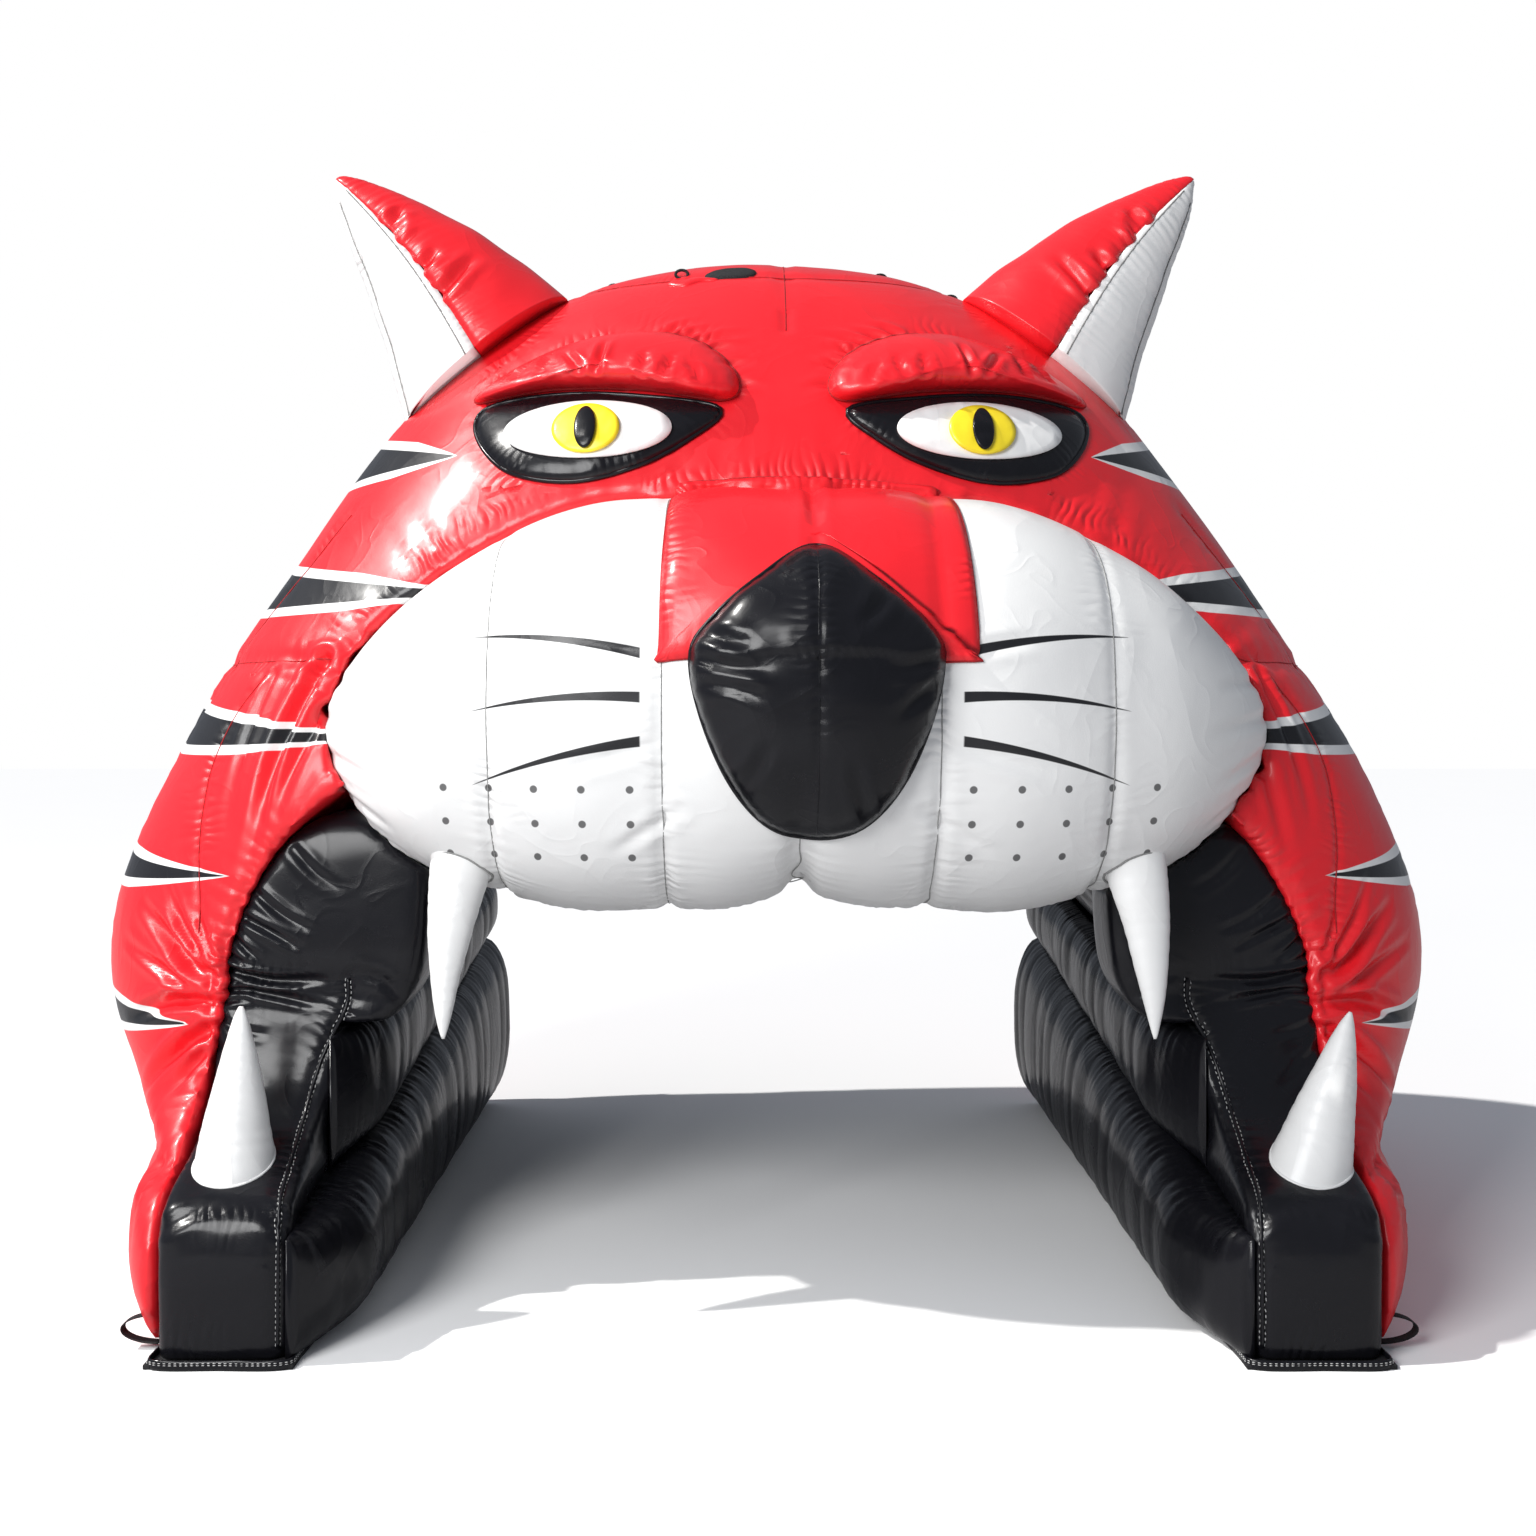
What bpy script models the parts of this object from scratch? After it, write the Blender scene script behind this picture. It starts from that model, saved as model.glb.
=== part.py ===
"""Inflatable entry tunnel: a big cat's head on two legs, which a team runs through.

The head is an inflated dome over an arched passage. Its muzzle hangs over the mouth of the
passage between two toes. The walls of the passage are ribbed air tubes under a padded vault.
Metres, +Z up, +X to the right of someone facing the head, who stands at -Y. The origin is at
the middle of the footprint, on the ground.
"""

import math

import bmesh
import bpy
from mathutils import Vector
from mathutils.bvhtree import BVHTree

NAME = "inflatable_entry_tunnel"
GAP = 0.0003  # between neighbouring pieces
TOE_Y = -2.108  # depths in the tables below run back from the front of the toes
SINK = 0.02  # how far a sewn-on piece is drawn into its carrier before it is trimmed
OUTSIDE = 9.0  # clear of the whole tunnel

BASE_THICK = 0.02
FLOOR_OF_SKIN = BASE_THICK + GAP
BACK_DEPTH = 4.30  # back end of the passage

ARCH_HALF = 2.49  # the red shell's arch, seen from the front
ARCH_HIGH = 2.52
ARCH_POWER = 4.0
PASSAGE_HALF = 2.47  # the same arch behind the mouth, round the vault
PASSAGE_HIGH = 2.50
ARCH_STEPS = 20
VAULT_HALF = 1.93
VAULT_HIGH = 2.10
VAULT_FRONT = 1.25

TUBE_INNER = (1.68, 1.75)  # crowns of the lower and the upper tube
TUBE_OUTER = 1.94
TUBE_FRONTS = (0.03, 0.70)
TUBE_SWELL = 0.60  # a tube reaches its full thickness this far behind its front
TUBE_STEP = 0.10  # half a rib
TUBE_POINTS = 7
TUBE_POWER = 2.6
RIB_DEPTH = 0.03
TUBE_SEAMS = ((FLOOR_OF_SKIN, 0.0), (0.50, 0.145), (1.10, 0.10))  # height, rise per metre back

FACE_LEAN = 0.08  # the soft face hangs a little to one side, more so further forward
MUZZLE_LEAN = 0.13
NOSE_LEAN = 0.19

RED = (0.78, 0.02, 0.03, 1.0)
BLACK = (0.012, 0.012, 0.014, 1.0)
WHITE = (0.85, 0.85, 0.84, 1.0)
YELLOW = (0.90, 0.68, 0.02, 1.0)

# Outer skin of the head, a flat ring at each height
# height, half_width, front_depth, back_depth, power
HEAD_RINGS = (
    (0.00, 2.60, -0.03, 4.32, 12.0),
    (0.30, 2.77, -0.05, 4.38, 10.0),
    (0.62, 2.74, 0.00, 4.38, 10.0),
    (0.84, 2.98, 0.40, 4.38, 5.0),
    (1.15, 3.29, 0.58, 4.42, 4.2),
    (1.55, 3.36, 0.60, 4.46, 4.0),
    (2.10, 3.22, 0.58, 4.46, 3.6),
    (2.80, 2.87, 0.60, 4.42, 3.0),
    (3.45, 2.50, 0.85, 4.30, 2.6),
    (4.05, 2.09, 1.05, 4.10, 2.5),
    (4.55, 1.64, 1.40, 3.80, 2.4),
    (4.88, 1.10, 1.75, 3.45, 2.2),
    (5.02, 0.50, 2.15, 3.05, 2.0),
)
HEAD_POINTS = 20

# Foot and jaw of one side, a flat ring at each height
# height, outer, inner, front_depth
JAW_RINGS = (
    (0.00, 2.489, 1.92, 0.02),
    (0.18, 2.489, 1.90, 0.00),
    (0.46, 2.489, 1.90, 0.00),
    (0.64, 2.489, 1.93, 0.06),
    (0.72, 2.47, 1.95, 0.34),
    (0.86, 2.47, 1.95, 0.62),
    (1.08, 2.48, 1.90, 0.74),
    (1.24, 2.48, 1.68, 0.77),
    (1.36, 2.47, 1.58, 0.82),  # fold over the foot
    (1.50, 2.46, 1.53, 0.79),
    (1.85, 2.34, 1.52, 0.82),
    (2.20, 2.08, 1.52, 0.86),
)
JAW_POINTS = 12
JAW_POWER = 9.0

# Muzzle, an upright ring at each distance from its middle
# side, top, bottom, front_depth, back_depth
MUZZLE_RINGS = (
    (0.00, 3.64, 1.78, -0.02, 1.78),
    (0.12, 3.65, 1.72, -0.02, 1.78),
    (0.36, 3.67, 1.66, -0.01, 1.78),
    (0.60, 3.63, 1.69, 0.05, 1.78),  # sewn channel
    (0.84, 3.64, 1.65, 0.04, 1.78),
    (1.14, 3.56, 1.68, 0.12, 1.78),
    (1.38, 3.43, 1.77, 0.24, 1.76),  # sewn channel
    (1.60, 3.31, 1.81, 0.29, 1.75),
    (1.86, 3.10, 1.96, 0.48, 1.70),
    (2.06, 2.87, 2.20, 0.70, 1.58),
    (2.17, 2.64, 2.42, 0.92, 1.38),
)
MUZZLE_POINTS = 10

# Outlines of sewn-on pads on the right half, as side and height
BROW_OUTLINE = (
    (1.50, 4.13),
    (1.28, 4.31),
    (0.95, 4.43),
    (0.62, 4.45),
    (0.36, 4.36),
    (0.22, 4.19),
    (0.28, 4.08),
    (0.68, 4.14),
    (1.12, 4.16),
)
EYE_OUTLINE = (
    (1.48, 4.02),
    (1.38, 4.10),
    (1.05, 4.13),
    (0.66, 4.10),
    (0.30, 4.03),
    (0.44, 3.88),
    (0.68, 3.75),
    (0.98, 3.68),
    (1.27, 3.73),
    (1.43, 3.87),
)
NOSE_HALF_OUTLINE = (
    (0.00, 3.30),
    (0.24, 3.16),
    (0.43, 2.99),
    (0.51, 2.85),
    (0.47, 2.61),
    (0.35, 2.33),
    (0.19, 2.15),
)
NOSE_BOTTOM = (0.00, 2.10)
BRIDGE_OUTLINE = (  # laid on from above at BRIDGE_FALL
    (-0.62, 4.12),
    (0.00, 4.18),
    (0.62, 4.12),
    (0.68, 3.40),
    (0.64, 2.92),
    (0.32, 2.87),
    (-0.32, 2.87),
    (-0.64, 2.92),
    (-0.68, 3.40),
)
BRIDGE_FALL = 0.5
EYE_MIDDLE = (0.92, 3.93)
VENT_MIDDLE = (-0.27, 1.98)  # side and depth, on the crown

EAR_FOOT = (1.46, 2.05, 4.44)  # side, depth, height
EAR_TIP = (2.25, 2.05, 5.41)
FANG_FOOT = (1.44, 0.66, 2.10)
FANG_TIP = (1.52, 0.46, 1.22)
TOOTH_FOOT = (2.25, 0.36, 0.60)
TOOTH_TIPS = {-1: (2.24, 0.42, 1.37), 1: (2.47, 0.42, 1.35)}
EAR_RADII = (0.54, 0.42)  # of the foot, across and along the depth
FANG_RADII = (0.16, 0.13)
TOOTH_RADII = (0.19, 0.19)
EAR_BOW = -0.05
FANG_BOW = 0.03
TIP_SHARE = 0.05  # a horn's tip against its foot

MUZZLE_POWER = 2.3
EYE_PUFF, EYE_RIM = 0.07, 0.02
BROW_PUFF, BROW_RIM = 0.17, 0.03
BRIDGE_PUFF, BRIDGE_RIM = 0.05, 0.02
NOSE_PUFF, NOSE_RIM = 0.20, 0.03
FLAT_PUFF, FLAT_RIM = 0.026, 0.018  # of the pieces laid on an eye
VENT_PUFF, VENT_RIM = 0.02, 0.01
VENT_HALF = (0.19, 0.05)

# Pieces laid on an eye, one on the other
# piece, half_width, half_height, points, colour
EYE_LAYERS = (
    ("eye_white", 0.40, 0.145, 16, "white"),
    ("iris", 0.16, 0.125, 16, "yellow"),
    ("pupil", 0.05, 0.105, 12, "black"),
)

STRIP_INNER = 1.90
STRIP_OUTER = 2.50
TAB_WIDE = 0.05  # webbing loop at the outer corner of a foot
TAB_THICK = 0.006
TAB_INSIDE = 2.51
TAB_REACH = 0.15
TAB_HEIGHTS = (0.03, 0.14)
TAB_DEPTH = 0.22
TAB_STEPS = 10


def at(side, depth, height):
    """A point from its side, its depth behind the toes and its height."""
    return Vector((side, depth + TOE_Y, height))


def finish(name, colour, roughness, metallic=0.0):
    """A Principled material."""
    made = bpy.data.materials.new(name)
    made.use_nodes = True
    shader = made.node_tree.nodes["Principled BSDF"]
    shader.inputs["Base Color"].default_value = colour
    shader.inputs["Roughness"].default_value = roughness
    shader.inputs["Metallic"].default_value = metallic
    made.diffuse_color = colour
    return made


def clear_scene():
    """Remove the objects that Blender starts with."""
    for thing in list(bpy.data.objects):
        bpy.data.objects.remove(thing, do_unlink=True)


def collection(name):
    """A new collection in the scene."""
    made = bpy.data.collections.new(name)
    bpy.context.scene.collection.children.link(made)
    return made


def place(name, mesh, group, material=None):
    """A mesh as a named, smooth object."""
    thing = bpy.data.objects.new(name, mesh)
    group.objects.link(thing)
    if material:
        mesh.materials.append(material)
    mesh.shade_smooth()
    return thing


def loft(name, rings, group, material=None, sharp_foot=False):
    """A closed solid through rings of equally many points, capped at both ends.

    sharp_foot keeps the first ring's edge when the solid is softened.
    """
    shape = bmesh.new()
    loops = [[shape.verts.new(point) for point in ring] for ring in rings]
    count = len(loops[0])
    for near, far in zip(loops, loops[1:]):
        for i in range(count):
            j = (i + 1) % count
            shape.faces.new((near[i], near[j], far[j], far[i]))
    caps = [shape.faces.new(loops[0]), shape.faces.new(loops[-1])]
    bmesh.ops.recalc_face_normals(shape, faces=shape.faces)
    if sharp_foot:
        crease = shape.edges.layers.float.new("crease_edge")
        for edge in caps[0].edges:
            edge[crease] = 1.0
    else:
        bmesh.ops.triangulate(shape, faces=shape.faces)
    mesh = bpy.data.meshes.new(name)
    shape.to_mesh(mesh)
    shape.free()
    return place(name, mesh, group, material)


def soften(thing, levels):
    """Subdivision Surface, in flat triangles that a larger copy then shares."""
    made = thing.modifiers.new("soften", "SUBSURF")
    made.levels = levels
    made.render_levels = levels
    thing.modifiers.new("split", "TRIANGULATE")


def baked(thing):
    """The object with its modifiers applied."""
    bpy.context.view_layer.update()
    graph = bpy.context.evaluated_depsgraph_get()
    mesh = bpy.data.meshes.new_from_object(thing.evaluated_get(graph))
    thing.modifiers.clear()
    old = thing.data
    thing.data = mesh
    bpy.data.meshes.remove(old)
    mesh.shade_smooth()
    return thing


def hidden(thing):
    """Mark a cutter."""
    thing.hide_render = True
    thing.display_type = "WIRE"
    return thing


def block(name, low, high, group, material=None):
    """A box between two corners."""
    shape = bmesh.new()
    bmesh.ops.create_cube(shape, size=1.0)
    bmesh.ops.scale(shape, vec=high - low, verts=shape.verts)
    bmesh.ops.translate(shape, vec=(high + low) / 2, verts=shape.verts)
    mesh = bpy.data.meshes.new(name)
    shape.to_mesh(mesh)
    shape.free()
    return place(name, mesh, group, material)


def grown(thing, cutters):
    """A hidden copy of the object, larger by the gap, to cut its neighbours with."""
    copy = bpy.data.objects.new("cut_" + thing.name, thing.data.copy())
    cutters.objects.link(copy)
    swell = copy.modifiers.new("swell", "DISPLACE")
    swell.strength = GAP
    swell.mid_level = 0.0
    return hidden(baked(copy))


def cut(thing, cutter):
    """Take the cutter out of the object."""
    made = thing.modifiers.new("cut", "BOOLEAN")
    made.operation = "DIFFERENCE"
    made.solver = "EXACT"
    made.object = cutter
    return baked(thing)


def power_point(angle, power):
    """A point of the unit superellipse."""
    across, along = math.cos(angle), math.sin(angle)
    return (
        math.copysign(abs(across) ** (2 / power), across),
        math.copysign(abs(along) ** (2 / power), along),
    )


def turns(count, start=0.0, sweep=2 * math.pi):
    """Equal angles round a sweep, its end left out."""
    return [start + sweep * i / count for i in range(count)]


def plan_ring(height, left, right, front, back, power, count):
    """A flat superellipse between four limits."""
    middle, half = (left + right) / 2, (right - left) / 2
    centre, reach = (front + back) / 2, (back - front) / 2
    ring = []
    for angle in turns(count, math.pi / count):
        across, along = power_point(angle, power)
        ring.append(at(middle + half * across, centre + reach * along, height))
    return ring


def arch_line(half, high, count, floor=0.0):
    """An arch from right foot to left foot, as side and height."""
    line = []
    for step in range(count + 1):
        across, up = power_point(math.pi * step / count, ARCH_POWER)
        line.append((half * across, max(high * up, floor)))
    return line


def rounded(corners, steps):
    """A closed, smooth line through the corners: a Catmull-Rom curve."""
    line = []
    count = len(corners)
    for i in range(count):
        p0, p1, p2, p3 = (Vector(corners[(i + k - 1) % count]) for k in range(4))
        for step in range(steps):
            t = step / steps
            line.append(
                0.5
                * (
                    2 * p1
                    + (p2 - p0) * t
                    + (2 * p0 - 5 * p1 + 4 * p2 - p3) * t**2
                    + (3 * p1 - p0 - 3 * p2 + p3) * t**3
                )
            )
    return line


def caster(carriers, start, along):
    """A function that drops a point of a plane onto the carriers.

    start turns two measures of the outline into a point clear of the carriers; along is the
    way in.
    """
    bpy.context.view_layer.update()
    graph = bpy.context.evaluated_depsgraph_get()
    trees = [BVHTree.FromObject(carrier, graph) for carrier in carriers]
    along = Vector(along).normalized()

    def drop(across, up):
        origin = start(across, up)
        hits = [tree.ray_cast(origin, along)[3] for tree in trees]
        return origin + along * min(hit for hit in hits if hit is not None)

    return drop, along


def from_front(*carriers, fall=0.0):
    """Drop outlines of sides and heights backwards, with a fall per metre of the way.

    The heights are those at the front of the toes.
    """
    rise = fall * OUTSIDE
    return caster(carriers, lambda side, high: at(side, -OUTSIDE, high + rise), (0, 1, -fall))


def from_above(*carriers):
    """Drop outlines of sides and depths downwards."""
    return caster(carriers, lambda side, depth: at(side, depth, OUTSIDE), (0, 0, -1))


def pad(name, outline, puff, rim, cast, group, material, sink=SINK, layers=3):
    """A sewn-on puffed pad over a closed outline.

    Its face stands off its carrier by the rim at its edge and by the puff at its middle. Its
    back is drawn into the carrier, to be trimmed.
    """
    drop, along = cast
    middle = sum(outline, Vector((0, 0))) / len(outline)
    face, back = [], []
    for layer in range(layers):
        share = 1.0 - layer / layers
        lift = rim + (puff - rim) * math.sqrt(1 - share**2)
        seats = [drop(*(middle + (corner - middle) * share)) for corner in outline]
        face.append([seat - along * lift for seat in seats])
        back.append([seat + along * sink for seat in seats])
    return loft(name, [*reversed(back), *face], group, material)


def horn(name, foot, tip, radii, group, material, sweep=None, bow=0.0, sections=7, points=12):
    """A padded cone from a foot to a tip.

    radii are the foot's two radii, across and along the depth. A sweep of angles, from the
    side that faces outwards, gives a part of the section, closed by a flat. bow bends it.
    """
    across, along = radii
    axis = (tip - foot).normalized()
    outward = Vector((0, 1, 0)).cross(axis).normalized()
    outward *= math.copysign(1, foot.x * outward.x)
    forward = axis.cross(outward) * math.copysign(1, -axis.cross(outward).y)
    if sweep:
        angles = [sweep[0] + (sweep[1] - sweep[0]) * i / (points - 1) for i in range(points)]
    else:
        angles = turns(points)
    rings = []
    for section in range(sections):
        share = section / (sections - 1)
        width = TIP_SHARE + (1 - TIP_SHARE) * (1 - share) ** 0.78
        spine = foot.lerp(tip, share) + outward * bow * math.sin(math.pi * share)
        if sweep:
            spine += outward * math.copysign(GAP, math.cos(sum(sweep) / 2))
        rings.append(
            [
                spine
                + outward * (across * width * math.cos(angle))
                + forward * (along * width * math.sin(angle))
                for angle in angles
            ]
        )
    return loft(name, rings, group, material)


def ellipse(middle, wide, high, count):
    """A closed oval, as side and height."""
    return [
        Vector((middle[0] + wide * math.cos(angle), middle[1] + high * math.sin(angle)))
        for angle in turns(count)
    ]


def mirrored(outline, side):
    """An outline on its own side of the face."""
    return [Vector((across * side + FACE_LEAN, up)) for across, up in outline]


def sided(side):
    """The word for a side."""
    return "left" if side < 0 else "right"


def make_head(group, material):
    """The red dome, before the passage is cut through it."""
    rings = [
        plan_ring(max(high, FLOOR_OF_SKIN), -half, half, front, back, power, HEAD_POINTS)
        for high, half, front, back, power in HEAD_RINGS
    ]
    head = loft("head_shell", rings, group, material, sharp_foot=True)
    soften(head, 1)
    return baked(head)


def seam_height(seam, depth):
    """How high one of the tubes' long seams is at a depth."""
    high, rise = TUBE_SEAMS[seam]
    return high + rise * depth


def make_passage_cutters(cutters):
    """The mouth, and the passage behind it, narrower where the tubes stand."""
    line = arch_line(ARCH_HALF, ARCH_HIGH, ARCH_STEPS)
    mouth = [(side, high if high > GAP else -OUTSIDE) for side, high in line]
    sections = [
        [at(side, depth, high) for side, high in mouth] for depth in (-OUTSIDE, VAULT_FRONT)
    ]
    made = [hidden(loft("cut_mouth", sections, cutters))]
    line = arch_line(PASSAGE_HALF, PASSAGE_HIGH, ARCH_STEPS)
    sections = []
    for depth in (VAULT_FRONT - 0.5, BACK_DEPTH + 1.0):
        top = seam_height(2, depth)
        wall = TUBE_OUTER + GAP
        above = [(side, high) for side, high in line if high > seam_height(2, BACK_DEPTH + 1.0)]
        right = [(wall, -OUTSIDE), (wall, top), (PASSAGE_HALF, top)]
        left = [(-side, high) for side, high in reversed(right)]
        sections.append([at(side, depth, high) for side, high in (*right, *above, *left)])
    made.append(hidden(loft("cut_passage", sections, cutters)))
    return made


def make_vault(group, material):
    """The padded black vault over the passage, standing on the upper tubes."""
    outer = arch_line(PASSAGE_HALF - GAP, PASSAGE_HIGH - GAP, ARCH_STEPS)
    inner = arch_line(VAULT_HALF, VAULT_HIGH, ARCH_STEPS)
    clear = seam_height(2, BACK_DEPTH + 1.0)
    span = BACK_DEPTH - VAULT_FRONT - GAP
    rings = []
    for step in range(4):
        depth = VAULT_FRONT + GAP + span * step / 3
        foot = seam_height(2, depth) + GAP
        section = []
        for line, edge in ((outer, PASSAGE_HALF - GAP), (inner[::-1], -VAULT_HALF)):
            upper = [(side, high) for side, high in line if high > clear]
            section += [(edge, foot), *upper, (-edge, foot)]
        rings.append([at(side, depth, high) for side, high in section])
    return loft("throat_vault", rings, group, material)


def make_jaw(side, group, cutters, material):
    """One black foot, and the jaw that rises from it to the muzzle."""
    rings = []
    for high, outer, inner, front in JAW_RINGS:
        ring = plan_ring(
            max(high, FLOOR_OF_SKIN), inner, outer, front, VAULT_FRONT, JAW_POWER, JAW_POINTS
        )
        rings.append([Vector((point.x * side, point.y, point.z)) for point in ring])
    jaw = loft(f"jaw_{sided(side)}", rings, group, material, sharp_foot=True)
    soften(jaw, 1)
    baked(jaw)
    walls = sorted((side * (TUBE_OUTER + GAP), 0.0))
    top = seam_height(2, VAULT_FRONT) + GAP
    low, high = at(walls[0], -OUTSIDE, -OUTSIDE), at(walls[1], OUTSIDE, top)
    return cut(jaw, hidden(block(f"cut_{jaw.name}", low, high, cutters)))


def make_tube(side, level, group, material):
    """One ribbed air tube along the wall of the passage, flat against the wall."""
    front = TUBE_FRONTS[level]
    steps = 2 * round((BACK_DEPTH - front) / TUBE_STEP / 2)
    rings = []
    for step in range(steps + 1):
        depth = front + (BACK_DEPTH - front) * step / steps
        draw = 0.0 if step % 2 else RIB_DEPTH
        bottom = seam_height(level, depth) + GAP * bool(level)
        top = seam_height(level + 1, depth) - GAP
        swell = math.sin(math.pi / 2 * min(1.0, 0.1 + (depth - front) / TUBE_SWELL))
        reach = (TUBE_OUTER - TUBE_INNER[level]) * swell
        ring = []
        for point in range(TUBE_POINTS):
            angle = math.pi * (point / (TUBE_POINTS - 1) - 0.5)
            across, up = power_point(angle, TUBE_POWER)
            inward = reach * across * (1 - draw / (TUBE_OUTER - TUBE_INNER[level]) * across)
            high = (bottom + top) / 2 + up * (top - bottom) / 2
            ring.append(at(side * (TUBE_OUTER - inward), depth, high))
        rings.append(ring)
    word = ("lower", "upper")[level]
    return loft(f"tube_{sided(side)}_{word}", rings, group, material)


def make_muzzle(group, material):
    """The white muzzle, two lobes over the mouth of the passage."""
    rows = [(-row[0], *row[1:]) for row in reversed(MUZZLE_RINGS[1:])] + list(MUZZLE_RINGS)
    rings = []
    for side, top, bottom, front, back in rows:
        ring = []
        for angle in turns(MUZZLE_POINTS, math.pi / MUZZLE_POINTS):
            along, up = power_point(angle, MUZZLE_POWER)
            depth = (front + back) / 2 + along * (back - front) / 2
            high = (top + bottom) / 2 + up * (top - bottom) / 2
            ring.append(at(side + MUZZLE_LEAN, depth, high))
        rings.append(ring)
    muzzle = loft("muzzle", rings, group, material)
    soften(muzzle, 1)
    return baked(muzzle)


def make_face(head, muzzle, group, cutters, finishes):
    """The brows, eyes, bridge and nose, each trimmed to what carries it."""
    head_cutter = grown(head, cutters)
    muzzle_cutter = grown(muzzle, cutters)
    for side in (-1, 1):
        word = sided(side)
        outline = rounded(mirrored(EYE_OUTLINE, side), 3)
        cast = from_front(head)
        eye = pad(f"eye_{word}", outline, EYE_PUFF, EYE_RIM, cast, group, finishes["black"])
        cut(eye, head_cutter)
        middle = (EYE_MIDDLE[0] * side + FACE_LEAN, EYE_MIDDLE[1])
        eye_cutter = grown(eye, cutters)
        carrier, carrier_cutter = eye, eye_cutter
        for piece, wide, high, count, colour in EYE_LAYERS:
            shape = ellipse(middle, wide, high, count)
            cast = from_front(carrier)
            made = pad(
                f"{piece}_{word}",
                shape,
                FLAT_PUFF,
                FLAT_RIM,
                cast,
                group,
                finishes[colour],
                sink=SINK / 2,
                layers=2,
            )
            cut(made, carrier_cutter)
            carrier, carrier_cutter = made, grown(made, cutters)
        outline = rounded(mirrored(BROW_OUTLINE, side), 3)
        cast = from_front(head)
        brow = pad(f"brow_{word}", outline, BROW_PUFF, BROW_RIM, cast, group, finishes["red"])
        cut(brow, head_cutter)
        cut(brow, eye_cutter)

    lean = Vector((NOSE_LEAN, 0))
    outline = [Vector(corner) + lean for corner in BRIDGE_OUTLINE]
    cast = from_front(head, muzzle, fall=BRIDGE_FALL)
    outline = rounded(outline, 2)
    bridge = pad(
        "nose_bridge", outline, BRIDGE_PUFF, BRIDGE_RIM, cast, group, finishes["red"], layers=6
    )
    cut(bridge, head_cutter)
    cut(bridge, muzzle_cutter)

    half = NOSE_HALF_OUTLINE
    outline = [*half, NOSE_BOTTOM, *((-across, up) for across, up in half[:0:-1])]
    outline = [Vector(corner) + lean for corner in outline]
    cast = from_front(muzzle, bridge)
    outline = rounded(outline, 2)
    nose = pad("nose", outline, NOSE_PUFF, NOSE_RIM, cast, group, finishes["black"])
    cut(nose, muzzle_cutter)
    cut(nose, grown(bridge, cutters))


def make_ears(head, group, cutters, finishes):
    """Two gusseted ears, each of a red back half and a white outer half."""
    head_cutter = grown(head, cutters)
    quarter = math.pi / 2
    for side in (-1, 1):
        foot = at(EAR_FOOT[0] * side, *EAR_FOOT[1:])
        tip = at(EAR_TIP[0] * side, *EAR_TIP[1:])
        for word, sweep, colour in (
            ("outer", (-quarter, quarter), "white"),
            ("back", (quarter, 3 * quarter), "red"),
        ):
            name = f"ear_{sided(side)}_{word}"
            half = horn(name, foot, tip, EAR_RADII, group, finishes[colour], sweep, EAR_BOW)
            cut(half, head_cutter)


def make_teeth(muzzle, jaws, group, cutters, material):
    """Two fangs under the muzzle and a tooth on each foot."""
    muzzle_cutter = grown(muzzle, cutters)
    for side in (-1, 1):
        foot = at(FANG_FOOT[0] * side + MUZZLE_LEAN, *FANG_FOOT[1:])
        tip = at(FANG_TIP[0] * side + MUZZLE_LEAN, *FANG_TIP[1:])
        fang = horn(f"fang_{sided(side)}", foot, tip, FANG_RADII, group, material, bow=FANG_BOW)
        cut(fang, muzzle_cutter)
        jaw = jaws[side]
        foot = at(TOOTH_FOOT[0] * side, *TOOTH_FOOT[1:])
        tip = at(TOOTH_TIPS[side][0] * side, *TOOTH_TIPS[side][1:])
        tooth = horn(f"tooth_{sided(side)}", foot, tip, TOOTH_RADII, group, material)
        cut(tooth, grown(jaw, cutters))


def make_base(side, group, material):
    """The flat strip under one leg, sewn round the foot of the skin."""
    edges = sorted((side * STRIP_INNER, side * STRIP_OUTER))
    low, high = at(edges[0], 0.0, 0.0), at(edges[1], BACK_DEPTH, BASE_THICK)
    return block(f"base_strip_{sided(side)}", low, high, group, material)


def make_tab(side, head, group, cutters, material):
    """A loop of webbing on the outer corner of a foot, to peg the tunnel down with."""
    low, high = TAB_HEIGHTS
    rings = []
    for step in range(TAB_STEPS + 1):
        angle = math.pi * (step / TAB_STEPS - 0.5)
        ring = []
        for along, lift in ((-1, 0), (1, 0), (1, 1), (-1, 1)):
            spread = (high - low) / 2 + TAB_THICK * lift
            out = TAB_INSIDE + (TAB_REACH + TAB_THICK * lift) * math.cos(angle)
            up = (low + high) / 2 + spread * math.sin(angle)
            ring.append(at(side * out, TAB_DEPTH + along * TAB_WIDE / 2, up))
        rings.append(ring)
    tab = loft(f"anchor_tab_{sided(side)}", rings, group, material)
    cut(tab, grown(head, cutters))


def make_vent(head, group, cutters, material):
    """The covered slit on the crown that lets the air out."""
    shape = ellipse(VENT_MIDDLE, *VENT_HALF, 16)
    cast = from_above(head)
    vent = pad("crown_vent", shape, VENT_PUFF, VENT_RIM, cast, group, material, layers=2)
    cut(vent, grown(head, cutters))


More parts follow.
